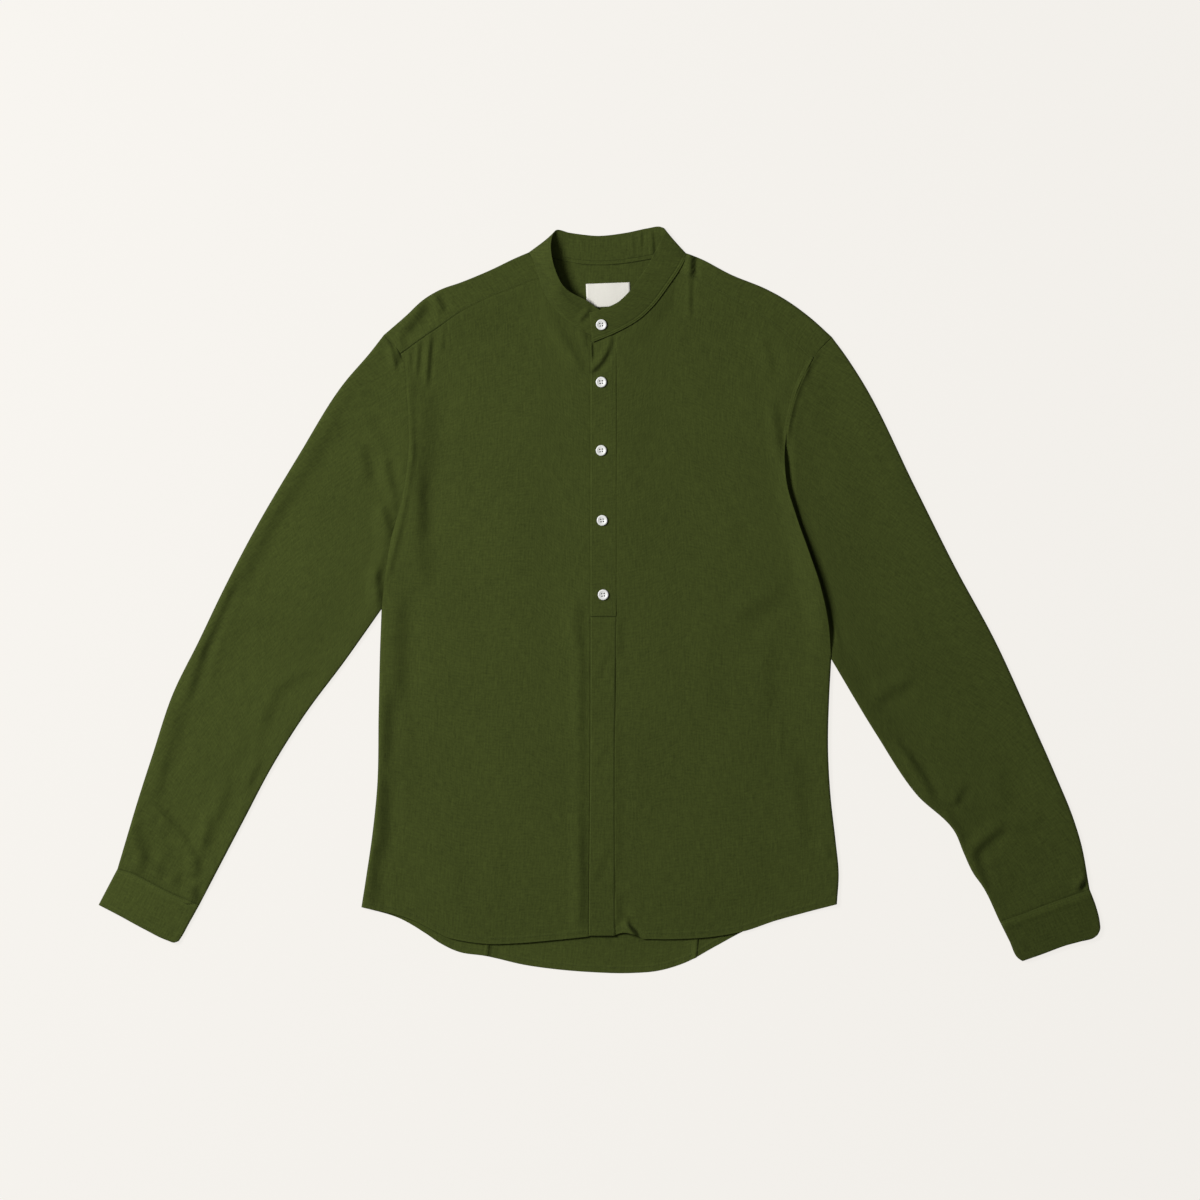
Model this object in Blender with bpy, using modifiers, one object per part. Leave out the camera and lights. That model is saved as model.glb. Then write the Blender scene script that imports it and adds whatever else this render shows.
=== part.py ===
"""A band-collar popover shirt, laid flat on a surface with its front up.

The shirt lies in the XY plane: +X is the wearer's left, +Y is towards the neck and Z = 0 is the surface.
Every piece of cloth is an open surface, lofted through the edges that the maker cuts, with a Solidify
modifier for its wall. Lengths below are millimetres, and make_object turns them into metres.
"""

import math

import bmesh
import bpy
import numpy as np
from mathutils import Matrix

MM = 0.001

# Cloth and sewing
CLOTH = 1.2  # a wall of plain cloth
BAND_WALL = 1.6  # the collar band, two layers and a stiffener
PLACKET_WALL = 1.4
LABEL_WALL = 1.0
SEAM_INSET = 0.2  # how far each sewn edge stops short of its seam line
THICK_SEAM_INSET = 0.3  # the same where one of the two pieces has a thicker wall
YOKE_NECK_INSET = 2.0  # more at the end of each shoulder fold, where the band leans over its seam
CLEAR = 0.3  # between layers that lie on each other

# How the layers lie
BAND_HEIGHT = 30.0
CUFF_LENGTH = 38.0  # from the sleeve to the cuff's edge
SLEEVE_LENGTH = 520.0
MIDDLE = 3.0  # height of every fold and side seam, half way up the rounded edge
FOLD = 3.0  # radius of that rounded edge
FRONT_REST = 3.1  # upper face of the front where it lies on the back
SLEEVE_REST = 3.2
SIDE_TOP = 6.0  # upper face beside a side seam
ARMHOLE_TOP = 5.5  # the front's edge at the armhole, just above the sleeve's
SLEEVE_HEAD_TOP = 4.9
SHOULDER_TOP = 6.2
CUFF_SEAM_TOP = 6.2
HEM_TOP = 3.6
PLACKET_TOP = 5.3
BUTTON_STAND_TOP = 3.0
STRIP_TOP = 4.5
CENTRE_TOP = {"right": 3.3, "left": 5.1}  # the left front is sewn to the placket, the right goes under
SETTLE = 45.0  # how far from an edge the cloth takes to sink to its rest
HEM_CORNER = 25.0  # how far from the side seam the hem takes to sink
OPENING_RISE = 0.08  # share of the centre edge over which it rises from the strip to the opening

# Shares of a panel's width or length at which it has a row
FOLD_ROWS = (0.0, 0.8, 3.0)  # mm from a fold, a quarter circle in two steps
UNDERARM_ROWS = (3.0, 1.0)  # mm along the armhole from the underarm
ARMHOLE_SHARES = (0.045, 0.09, 0.17, 0.27, 0.37, 0.47, 0.57, 0.67, 0.77, 0.88)
FORWARD_SEAM_SHARE = ARMHOLE_SHARES[1]
YOKE_SEAM_SHARE = ARMHOLE_SHARES[2]
SIDE_SHARES = (0.0, 0.04, 0.14, 0.26, 0.39, 0.52, 0.65, 0.78, 0.90, 0.985)
UNDERARM_SHARE = 0.46  # of a panel's edge that is side seam, the rest being armhole
FOLDED_COLUMNS = (0.0, 0.0, 0.8, 3.0)  # mm from the side seam; the first two stand one above the other
SEWN_COLUMNS = (0.2, 0.5, 1.2, 3.0)  # mm from the armhole
UPRIGHT = 0.8  # how far that second column stands from the middle height
UNDERARM_CLEAR = 0.4  # how far the edge stands from the middle height at the underarm
# of the way from the side to the neck corner
FRONT_COLUMNS = (0.05, 0.1, 0.15, 0.21, 0.28, 0.36, 0.48, 0.6, 0.7, 0.78, 0.86, 0.93)
NECK_CORNER_SHARE = {"right": 0.72, "left": 0.67}  # of a front's top that is forward seam, the rest neck
YOKE_NECK_SHARES = (0.336, 0.658)  # of the yoke's top, where the neck begins and ends

# Buttons
BUTTON_ACROSS = 11.4
BUTTON_THICK = 2.4
CUFF_BUTTON_THICK = 2.2
BUTTON_RIM = 1.3
BUTTON_DISH = 0.6
BUTTON_BEVEL = 0.45
BUTTON_SIDES = 14
THREAD_HOLE = 1.7
THREAD_HOLE_APART = 2.6
THREAD_HOLE_SIDES = 5

# Colours, linear
OLIVE = (0.047, 0.062, 0.014)
LABEL_CREAM = (0.79, 0.77, 0.70)
BUTTON_WHITE = (0.78, 0.78, 0.74)

# Side seam, from the hem corner to the underarm. Columns: across, up
SIDE_SEAM = {
    "right": (
        (-252.5, -325.5),
        (-247.4, -293.0),
        (-240.5, -245.0),
        (-236.0, -200.0),
        (-234.3, -120.0),
        (-232.8, -53.0),
        (-231.2, -10.0),
    ),
    "left": (
        (251.3, -322.4),
        (253.2, -290.0),
        (249.9, -255.0),
        (244.8, -210.0),
        (242.0, -160.0),
        (243.0, -106.0),
        (245.3, -63.0),
    ),
}

# Armhole, from the shoulder point to the underarm. Columns: across, up
ARMHOLE = {
    "right": (
        (-228.7, 280.7),
        (-211.5, 261.5),
        (-204.3, 213.0),
        (-202.7, 159.0),
        (-205.4, 132.0),
        (-212.3, 97.0),
        (-221.7, 62.0),
        (-227.6, 24.0),
        (-231.2, -10.0),
    ),
    "left": (
        (245.8, 278.6),
        (232.4, 264.8),
        (219.3, 243.1),
        (208.0, 218.7),
        (201.0, 191.0),
        (197.2, 158.0),
        (199.5, 122.0),
        (211.0, 88.0),
        (223.9, 50.7),
        (235.6, 14.7),
        (243.4, -23.5),
        (245.3, -63.0),
    ),
}

# Fold over the shoulder, from the armhole to the band. Columns: across, up
SHOULDER_FOLD = {
    "right": (
        (-228.7, 280.7),
        (-205.4, 300.9),
        (-186.3, 318.5),
        (-170.4, 328.0),
        (-146.0, 336.8),
        (-115.3, 349.6),
        (-87.7, 362.8),
        (-75.8, 367.8),
    ),
    "left": (
        (245.8, 278.6),
        (223.4, 298.8),
        (197.0, 318.0),
        (178.3, 328.4),
        (139.1, 344.6),
        (103.1, 363.0),
        (91.2, 367.3),
    ),
}

# Forward shoulder seam, between the armhole and the band, without its ends. Columns: across, up
FORWARD_SEAM = {
    "right": ((-186.3, 278.3), (-173.0, 287.5), (-146.0, 306.2), (-118.5, 320.2), (-92.0, 330.8)),
    "left": ((194.2, 283.5), (151.8, 312.6), (129.6, 324.0), (108.4, 336.0)),
}

# The neck, round from the band's hidden end to its upper end. Each row is one upright line of the band:
# its foot on the neck seam and its head on the upper edge, both on the band's outer face.
# Columns: name, foot across, foot up, foot height, head across, head up, head height
NECK = (
    ("hidden end", 14.0, 275.5, 3.1, 12.5, 303.5, 5.0),
    ("under the lap", 2.0, 277.5, 3.1, 1.5, 306.5, 5.6),
    ("lap edge", -9.5, 281.5, 3.4, -7.5, 312.6, 6.6),
    ("right low", -26.2, 290.9, 4.4, -15.0, 317.6, 8.6),
    ("right front", -38.3, 299.6, 5.3, -28.4, 324.0, 12.0),
    ("right high", -53.8, 316.5, 5.9, -37.6, 331.0, 15.0),
    ("right corner", -64.5, 341.0, 6.2, -45.4, 344.5, 16.6),
    ("right side", -69.5, 356.5, 6.2, -50.2, 360.2, 17.0),
    ("right turn", -73.6, 364.8, 5.4, -51.7, 375.0, 15.0),
    ("right fold", -75.8, 367.8, 3.0, -50.5, 384.5, 11.0),
    ("right back", -66.0, 366.6, 0.6, -47.0, 391.0, 6.0),
    ("back 1", -42.1, 361.0, 0.0, -32.0, 389.0, 2.0),
    ("back 2", -22.0, 357.3, 0.0, -18.0, 387.0, 0.6),
    ("centre back", -1.9, 356.0, 0.0, -1.9, 385.7, 0.0),
    ("back 3", 28.0, 357.9, 0.0, 28.0, 389.0, 0.0),
    ("back 4", 54.9, 362.4, 0.0, 50.0, 393.6, 0.6),
    ("left back", 77.0, 366.8, 0.6, 64.5, 395.2, 3.0),
    ("left fold", 91.2, 367.3, 3.0, 69.5, 391.0, 6.0),
    ("left turn", 89.3, 361.0, 5.4, 63.0, 377.0, 8.5),
    ("left corner", 82.2, 348.1, 6.2, 55.0, 361.5, 9.5),
    ("left high", 71.3, 332.4, 6.2, 48.4, 350.0, 10.2),
    ("left front", 56.7, 312.9, 6.2, 38.4, 336.0, 10.4),
    ("left middle", 43.2, 299.7, 6.2, 30.8, 325.8, 10.4),
    ("left low", 28.7, 290.3, 6.1, 19.0, 315.0, 10.0),
    ("placket seam", 17.2, 284.4, 6.1, 9.5, 310.3, 9.4),
    ("upper end", -7.9, 273.9, 6.0, -10.9, 304.0, 8.8),
)
NECK_NAMES = [row[0] for row in NECK]

# Front hem, from the side seam to the centre. Columns: across, up
FRONT_HEM = {
    "right": (
        (-252.5, -325.5),
        (-198.0, -339.4),
        (-175.1, -351.0),
        (-161.9, -357.4),
        (-142.8, -361.8),
        (-120.6, -364.5),
        (-86.0, -363.8),
        (-48.5, -360.6),
        (-11.4, -356.8),
    ),
    "left": (
        (251.3, -322.4),
        (211.2, -333.0),
        (184.7, -340.4),
        (155.0, -350.5),
        (131.7, -355.3),
        (79.8, -359.5),
        (50.0, -359.3),
        (39.0, -355.2),
        (26.8, -353.3),
        (15.7, -355.2),
    ),
}

# Back hem, from the wearer's right to the left. Columns: across, up
BACK_HEM = (
    (-252.5, -325.5),
    (-211.0, -338.0),
    (-184.5, -353.5),
    (-169.3, -363.8),
    (-150.3, -372.8),
    (-120.6, -377.5),
    (-78.5, -387.1),
    (-48.5, -391.3),
    (-10.3, -394.5),
    (35.2, -395.5),
    (60.0, -393.5),
    (88.2, -385.5),
    (123.2, -366.9),
    (155.0, -350.0),
    (185.0, -339.0),
    (251.3, -322.4),
)
BACK_SEAM_SHARES = (0.274, 0.690)  # the two felled seams, as shares of the back's width
BACK_COLUMNS = {
    "back_side_right": (0.06, 0.13, 0.2),
    "back_centre": (0.36, 0.44, 0.52, 0.6),
    "back_side_left": (0.77, 0.86, 0.94),
}
YOKE_SEAM_CENTRE = (0.0, 256.0)  # the yoke's back seam, 100 mm below the neck
BACK_WIDTH = 480.0
YOKE_DEPTH = 60.0  # at the shoulder, from the fold to the back seam
YOKE_NECK_DEPTH = 105.0
SHOULDER_DEPTH = 26.0  # from the fold to the forward seam
SHOULDER_LENGTH = 180.0

# Centre edges of the fronts, from the hem to the neck. Columns: across, up
CENTRE_EDGE = {
    "right": ((-11.4, -356.8), (-9.6, -160.0), (-9.5, -17.0), (-9.5, 281.5)),
    "left": ((15.7, -355.2), (15.2, -160.0), (17.2, -17.0), (17.2, 284.4)),
}
NECK_END = {"right": "lap edge", "left": "placket seam"}
PLACKET_FOOT = -17.8
PLACKET_OVERHANG = 0.4  # how far the placket's free edge passes the seam under it
STAND_INSET = 2.5  # how far the button stand stops short of the left front's edge

# Sleeves and cuffs, with the fold away from the body as outer and the underarm seam as inner.
# Columns: across, up
SLEEVE_OUTER = {
    "right": (
        (-228.7, 280.7),
        (-243.5, 261.7),
        (-270.0, 230.9),
        (-318.8, 153.5),
        (-368.6, 68.7),
        (-399.4, 9.4),
        (-424.8, -43.6),
        (-452.4, -99.8),
        (-473.6, -163.4),
        (-491.6, -219.6),
        (-500.1, -248.2),
        (-511.0, -285.0),
    ),
    "left": (
        (245.8, 278.6),
        (260.0, 259.5),
        (275.9, 235.2),
        (335.2, 117.5),
        (377.1, 33.8),
        (419.0, -43.6),
        (454.5, -121.0),
        (482.6, -184.6),
        (502.5, -233.4),
        (509.5, -256.0),
        (519.0, -306.5),
    ),
}
SLEEVE_INNER = {
    "right": (
        (-231.2, -10.0),
        (-270.0, -64.8),
        (-311.9, -121.0),
        (-347.4, -177.2),
        (-377.1, -233.4),
        (-396.6, -270.5),
        (-424.3, -323.5),
    ),
    "left": (
        (245.3, -63.0),
        (292.8, -142.2),
        (335.2, -205.8),
        (377.1, -247.7),
        (385.5, -268.0),
        (395.6, -289.5),
        (405.5, -303.5),
        (423.8, -341.0),
    ),
}
CUFF_SEAM = {
    "right": ((-511.0, -285.0), (-494.8, -290.0), (-476.7, -299.1), (-459.8, -308.1), (-424.3, -323.5)),
    "left": ((519.0, -306.5), (490.0, -316.7), (468.4, -324.5), (446.5, -333.0), (423.8, -341.0)),
}
CUFF_EDGE = {
    "right": ((-530.9, -323.0), (-510.7, -333.4), (-483.1, -348.4), (-457.7, -360.8), (-445.2, -362.6)),
    "left": ((530.9, -352.0), (511.2, -360.6), (493.2, -366.2), (468.4, -375.4), (446.0, -383.2)),
}

# The path of a cuff's strip across the cuff, from its upper lap on the hidden side round to its under lap.
# Columns: share across from the outer fold, height at the sleeve, height at the button
CUFF_LAP = ((0.46, 0.0, 2.6), (0.36, 0.0, 2.6), (0.24, 0.0, 2.6), (0.12, 0.0, 1.2))
CUFF_TOP = (
    (0.12, 6.1, 6.4),
    (0.24, 6.2, 6.8),
    (0.36, 6.2, 6.8),
    (0.5, 6.2, 6.8),
    (0.7, 6.2, 6.5),
    (0.88, 6.1, 6.2),
)
CUFF_UNDER_LAP = (
    (0.9, 0.0, 0.0),
    (0.74, 0.3, 0.8),
    (0.6, 1.0, 2.6),
    (0.48, 1.5, 4.1),
    (0.36, 1.5, 4.1),
    (0.24, 1.5, 4.1),
    (0.18, 1.5, 4.1),
)
CUFF_ROWS = (0.0, 0.3, 0.8, 1.0)
CUFF_RISE = 0.3  # share of the cuff over which its height changes from the sleeve's to the button's
CUFF_BUTTON_AT = (0.32, 0.55)  # shares across and along the cuff

# Buttons of the front. Columns: across, up
BAND_BUTTON = (1.6, 291.4)
PLACKET_BUTTONS = ((1.5, 230.6), (1.5, 158.2), (2.5, 84.1), (3.6, 5.4))

# Shares of a sleeve's length at which it has a row, closer towards the wrist, where the folds are smaller
UPPER_SLEEVE_ROWS = (0.0, 0.03, 0.08, 0.15, 0.24, 0.34, 0.44, 0.54)
LOWER_SLEEVE_ROWS = (0.6, 0.66, 0.72, 0.77, 0.82, 0.87, 0.92, 0.96, 1.0)
SLEEVE_SPREAD = 0.4  # the most of a sleeve's width over which it sinks from a fold

# Neck label
LABEL_CENTRE = (9.0, 323.2)
LABEL_SIZE = (46.4, 25.0)
LABEL_TURN = math.radians(2.1)

# Largest soft folds, which reach full height along the middle of their length.
# Columns: name, from across, from up, to across, to up, half width, height
FOLD_FULL = 0.6  # share of a fold's length at full height
FOLD_FADE = 0.5  # share of its length over which it sinks beyond that, at each end
FOLDS = (
    ("right chest drape", -192.0, 205.0, -199.0, 40.0, 18.0, 1.7),
    ("right side drape", -217.0, -40.0, -222.0, -170.0, 15.0, 1.3),
    ("right side fold", -228.0, -150.0, -230.0, -300.0, 14.0, 1.5),
    ("strip drape", -33.0, -60.0, -34.0, -330.0, 14.0, 1.1),
    ("left armhole drape", 176.0, 212.0, 182.0, 145.0, 16.0, 1.4),
    ("left shoulder drape", 90.0, 322.0, 88.0, 270.0, 12.0, 1.2),
    ("left chest drape", 155.0, 240.0, 165.0, 120.0, 22.0, 0.8),
    ("left dent", 150.0, -20.0, 215.0, 25.0, 26.0, 0.9),
    ("centre drape", -116.0, -150.0, -106.0, -330.0, 24.0, 0.8),
    ("right elbow", -352.0, -40.0, -300.0, -85.0, 18.0, 1.2),
    ("right forearm", -474.0, -205.0, -440.0, -262.0, 16.0, 1.6),
    ("right wrist", -410.0, -215.0, -424.0, -268.0, 14.0, 1.4),
    ("left elbow", 300.0, -105.0, 350.0, -80.0, 18.0, 1.2),
    ("left forearm", 330.0, -165.0, 362.0, -190.0, 14.0, 1.4),
    ("left wrist", 392.0, -262.0, 450.0, -240.0, 16.0, 1.8),
)


# ---------------------------------------------------------------------------------------------------------
# Lines and surfaces


def spaced(points):
    """How far along its line each point lies, as a share of the length."""
    steps = np.linalg.norm(np.diff(points, axis=0), axis=1)
    return np.concatenate([[0.0], np.cumsum(steps)]) / steps.sum()


def smooth(points):
    """A smooth line through points, as a function of the share of its length."""
    points = np.asarray(points, float)
    at = spaced(points)
    slope = np.gradient(points, at, axis=0)

    def read(share):
        share = np.clip(np.asarray(share, float), 0.0, 1.0)
        i = np.clip(np.searchsorted(at, share, side="right") - 1, 0, len(at) - 2)
        span = (at[i + 1] - at[i])[..., None]
        t = (share - at[i])[..., None] / span
        start = (2 * t**3 - 3 * t**2 + 1) * points[i] + (t**3 - 2 * t**2 + t) * span * slope[i]
        end = (3 * t**2 - 2 * t**3) * points[i + 1] + (t**3 - t**2) * span * slope[i + 1]
        return start + end

    return read


def straight(points):
    """A line with a corner at each of its points, as a function of the share of its length."""
    points = np.asarray(points, float)
    at = spaced(points)
    return lambda share: np.stack([np.interp(share, at, column) for column in points.T], axis=-1)


def stretch_of(line, start, end):
    """The stretch of a line between two shares, as a line of its own."""
    return lambda share: line(start + (end - start) * np.asarray(share, float))


def chain(*stretches):
    """Lines end to end, with sharp corners between them. Each comes as (line, share where it ends)."""

    def read(share):
        share = np.asarray(share, float)
        found, begin = None, 0.0
        for line, end in stretches:
            here = line(np.clip((share - begin) / (end - begin), 0.0, 1.0))
            found = here if found is None else np.where((share > begin)[..., None], here, found)
            begin = end
        return found

    return read


def with_height(line, height):
    """A flat line raised to a height, which may be a function of the share."""

    def read(share):
        flat = line(share)[..., :2]
        level = height(share) if callable(height) else height
        return np.concatenate([flat, np.broadcast_to(level, flat.shape[:-1])[..., None]], axis=-1)

    return read


def fall(distance):
    """From 1 at an edge to 0 at a distance of 1, levelling out at both."""
    t = np.clip(distance, 0.0, 1.0)
    return (1 - t) ** 2 * (1 + 2 * t)


def patch(left, right, bottom, top, us, vs):
    """A surface between four edge lines. left and right run from bottom to top, and us and vs are grids."""
    u, v = us[..., None], vs[..., None]
    low = (1 - u) * bottom(0.0) + u * bottom(1.0)
    high = (1 - u) * top(0.0) + u * top(1.0)
    return (1 - u) * left(vs) + u * right(vs) + (1 - v) * bottom(us) + v * top(us) - (1 - v) * low - v * high


def settled(edges, us, vs, size, rest, reach=SETTLE):
    """Heights of a panel that has its edges' heights there and sinks to rest within reach of them."""
    left, right, bottom, top = edges
    wide, long = size
    sides = (
        (us * wide, left(vs)),
        ((1 - us) * wide, right(vs)),
        (vs * long, bottom(us)),
        ((1 - vs) * long, top(us)),
    )
    near, weight, flat = 0.0, 0.0, 1.0
    for distance, line in sides:
        pull = fall(distance / reach)
        share = pull / (distance / reach + 0.001)
        near = near + share * (line[..., 2] - rest)
        weight = weight + share
        flat = flat * (1 - pull)
    return rest + near / (weight + 1e-9) * (1 - flat)


def rounded(distance):
    """How much of its full height a folded edge has at a distance from the fold."""
    t = np.clip(distance / FOLD, 0.0, 1.0)
    return np.sqrt(1 - (1 - t) ** 2)


def add_folds(points):
    """Raises the points along each soft fold."""
    for _, x0, y0, x1, y1, half_width, height in FOLDS:
        start, way = np.array([x0, y0]), np.array([x1 - x0, y1 - y0])
        offset = points[..., :2] - start
        along = (offset @ way) / (way @ way)
        aside = np.abs(offset @ np.array([-way[1], way[0]])) / np.linalg.norm(way)
        ends = fall(np.maximum(np.abs(along - 0.5) - FOLD_FULL / 2, 0.0) / FOLD_FADE)
        points[..., 2] += height * ends * fall(aside / half_width)


# ---------------------------------------------------------------------------------------------------------
# Lines that pieces share

NECK_LINE = straight([row[1:] for row in NECK])
NECK_AT = spaced(np.array([row[1:] for row in NECK]))


def neck_share(name):
    return NECK_AT[NECK_NAMES.index(name)]


def neck_seam(start, end):
    """The neck seam between two rows of NECK."""
    foot = stretch_of(NECK_LINE, neck_share(start), neck_share(end))
    return lambda share: foot(share)[..., :3]


def neck_stops(start, end):
    """The rows of NECK between start and end, as shares of that stretch."""
    first, last = sorted((NECK_NAMES.index(start), NECK_NAMES.index(end)))
    rows = NECK_AT[first : last + 1]
    shares = (rows - rows[0]) / (rows[-1] - rows[0])
    return shares if neck_share(start) < neck_share(end) else (1 - shares)[::-1]


def neck_rows(start, end):
    """Feet and heads of the band between two rows of NECK."""
    first, last = NECK_NAMES.index(start), NECK_NAMES.index(end)
    both = np.array([row[1:] for row in NECK[first : last + 1]])
    return both[:, :3], both[:, 3:]


def armhole(side):
    return smooth(ARMHOLE[side])


def armhole_length(side):
    return np.linalg.norm(np.diff(ARMHOLE[side], axis=0), axis=1).sum()


def neck_corner(side):
    """Where the forward seam meets the neck."""
    return NECK[NECK_NAMES.index(f"{side} corner")][1:3]


def forward_seam(side):
    start = armhole(side)(FORWARD_SEAM_SHARE)
    return smooth([start, *FORWARD_SEAM[side], neck_corner(side)])


def body_edge(side, top_share):
    """The side seam and then the armhole as one line, and the shares of it where a panel has a row."""
    close = 1 - np.array(UNDERARM_ROWS) / armhole_length(side)
    up = np.concatenate([[1.0], close[::-1], ARMHOLE_SHARES[::-1]])
    up = up[up > top_share - 1e-9]
    above = UNDERARM_SHARE + (1 - UNDERARM_SHARE) * (1 - up) / (1 - top_share)
    shares = np.concatenate([np.array(SIDE_SHARES) * UNDERARM_SHARE, above])
    hole = stretch_of(armhole(side), 1.0, top_share)
    return chain((smooth(SIDE_SEAM[side]), UNDERARM_SHARE), (hole, 1.0)), shares


# ---------------------------------------------------------------------------------------------------------
# Objects


def principled(name, colour, roughness):
    found = bpy.data.materials.get(name)
    if found:
        return found
    material = bpy.data.materials.new(name)
    material.use_nodes = True
    shader = material.node_tree.nodes["Principled BSDF"]
    shader.inputs["Base Color"].default_value = (*colour, 1.0)
    shader.inputs["Roughness"].default_value = roughness
    shader.inputs["Metallic"].default_value = 0.0
    return material


def grid_faces(rows, columns, first, ring):
    """Quads of a grid of points, numbered from first. A ring closes from its last column to its first."""
    across = columns if ring else columns - 1
    return [
        (
            first + r * columns + c,
            first + r * columns + (c + 1) % columns,
            first + (r + 1) * columns + (c + 1) % columns,
            first + (r + 1) * columns + c,
        )
        for r in range(rows - 1)
        for c in range(across)
    ]


def weld(mesh, within):
    """Joins the points that neighbouring grids share and makes the faces agree on a side."""
    work = bmesh.new()
    work.from_mesh(mesh)
    bmesh.ops.remove_doubles(work, verts=work.verts, dist=within)
    bmesh.ops.recalc_face_normals(work, faces=work.faces)
    work.to_mesh(mesh)
    work.free()


def face_outwards(mesh, middle):
    """Turns the faces so that those above the middle height look up and those below look down."""
    out = sum(p.normal.z * (p.center.z - middle) * p.area for p in mesh.polygons)
    if out < 0:
        mesh.flip_normals()


def make_cloth(collection, name, grids, wall, look, middle=MIDDLE, ring=False):
    """One piece of cloth: its outer face from grids of points, and its wall inwards from there."""
    points, faces = [], []
    for grid in grids:
        rows, columns = grid.shape[:2]
        faces += grid_faces(rows, columns, len(points), ring)
        points += [tuple(p) for p in grid.reshape(-1, 3) * MM]
    mesh = bpy.data.meshes.new(name)
    mesh.from_pydata(points, [], faces)
    weld(mesh, 1e-6)
    face_outwards(mesh, middle * MM)
    mesh.materials.append(principled(*look))
    mesh.shade_smooth()
    made = bpy.data.objects.new(name, mesh)
    collection.objects.link(made)
    solid = made.modifiers.new("Wall", "SOLIDIFY")
    solid.thickness = wall * MM
    solid.offset = -1.0
    solid.use_even_offset = True
    solid.use_quality_normals = True
    return made


CLOTH_LOOK = ("Olive cloth", OLIVE, 0.9)
LABEL_LOOK = ("Cream label", LABEL_CREAM, 0.85)
BUTTON_LOOK = ("White button", BUTTON_WHITE, 0.3)


# ---------------------------------------------------------------------------------------------------------
# Fronts


def edge_columns(vs):
    """Where a panel has columns near its outer edge: rounded below the underarm, sewn above."""
    sewn = (vs > UNDERARM_SHARE + 1e-9)[:, None]
    return np.where(sewn, np.array(SEWN_COLUMNS), np.array(FOLDED_COLUMNS))


def height_by_edge(side, us_mm, vs, top_share):
    """How much of its full height a panel has near its side seam and underarm, where it rounds over."""
    above = np.maximum(vs - UNDERARM_SHARE, 0.0) / (1 - UNDERARM_SHARE)
    along = above * (1 - top_share) * armhole_length(side)
    return rounded(np.hypot(us_mm, along))


def front_lines(side):
    """The left, right, bottom and top edges of a front, seen from its side seam."""
    neck = neck_seam(f"{side} corner", NECK_END[side])
    corner = NECK_CORNER_SHARE[side]
    hem_corner, centre = SIDE_SEAM[side][0][0], CENTRE_EDGE[side]
    hem_width = abs(hem_corner - centre[0][0])
    opening = (PLACKET_FOOT - centre[0][1]) / (centre[-1][1] - centre[0][1])

    def side_height(v):
        return np.where(v < UNDERARM_SHARE, SIDE_TOP, ARMHOLE_TOP)

    def centre_height(v):
        risen = 1 - fall((v - opening) / OPENING_RISE + 0.5)
        return HEM_TOP + (CENTRE_TOP[side] - HEM_TOP) * risen

    def hem_height(u):
        return HEM_TOP + (SIDE_TOP - HEM_TOP) * fall(u * hem_width / HEM_CORNER)

    def top_height(u):
        along_neck = np.maximum(u - corner, 0.0) / (1 - corner)
        return np.where(u < corner, SHOULDER_TOP, neck(along_neck)[..., 2]) - SEAM_INSET

    edge, _ = body_edge(side, FORWARD_SEAM_SHARE)
    top = chain((forward_seam(side), corner), (lambda t: neck(t)[..., :2], 1.0))
    return (
        with_height(edge, side_height),
        with_height(smooth(centre), centre_height),
        with_height(smooth(FRONT_HEM[side]), hem_height),
        with_height(top, top_height),
    )


def front_grid(side):
    left, right, bottom, top = front_lines(side)
    _, vs = body_edge(side, FORWARD_SEAM_SHARE)
    corner = NECK_CORNER_SHARE[side]
    widths = np.linalg.norm(left(vs)[:, :2] - right(vs)[:, :2], axis=1)
    flat = np.array(FRONT_COLUMNS) * corner
    neck = corner + (1 - corner) * neck_stops(f"{side} corner", NECK_END[side])
    near = edge_columns(vs) / widths[:, None]
    us = np.concatenate([near, np.broadcast_to([*flat, *neck], (len(vs), len(flat) + len(neck)))], axis=1)
    us[:, -1] -= SEAM_INSET / widths
    rows = np.repeat(vs[:, None], us.shape[1], axis=1)
    length = np.linalg.norm(top(us[0])[:, :2] - bottom(us[0])[:, :2], axis=1)
    rows[-1] -= THICK_SEAM_INSET / length
    grid = patch(left, right, bottom, top, us, rows)
    size = (widths[:, None], length)
    grid[..., 2] = settled((left, right, bottom, top), us, rows, size, FRONT_REST)
    add_folds(grid)
    lifted = np.maximum(grid[..., 2], FRONT_REST - 0.1)
    by_edge = height_by_edge(side, us * widths[:, None], rows, FORWARD_SEAM_SHARE)
    grid[..., 2] = MIDDLE + (lifted - MIDDLE) * by_edge
    folded = vs <= UNDERARM_SHARE + 1e-9
    grid[folded, 0, 2] = MIDDLE + CLEAR / 2
    grid[folded, 1, 2] = MIDDLE + UPRIGHT
    grid[folded.sum() - 1, :2, 2] += UNDERARM_CLEAR - CLEAR / 2
    return grid


# ---------------------------------------------------------------------------------------------------------
# Back and yoke


def yoke_seam():
    """The yoke's back seam, from the right armhole to the left."""
    ends = [armhole(side)(YOKE_SEAM_SHARE) for side in ("right", "left")]
    return smooth([ends[0], YOKE_SEAM_CENTRE, ends[1]])


def back_columns(name, vs):
    """Shares across the back for one of its three panels. The outer two round over at their sides."""
    near = edge_columns(vs) / BACK_WIDTH
    inset = SEAM_INSET / BACK_WIDTH
    first, second = BACK_SEAM_SHARES

    def spread(*shares):
        return np.broadcast_to(shares, (len(vs), len(shares)))

    if name == "back_side_right":
        return np.concatenate([near, spread(*BACK_COLUMNS[name], first - inset)], axis=1)
    if name == "back_side_left":
        return np.concatenate([spread(second + inset, *BACK_COLUMNS[name]), 1 - near[:, ::-1]], axis=1)
    return spread(first + inset, *BACK_COLUMNS[name], second - inset)


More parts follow.
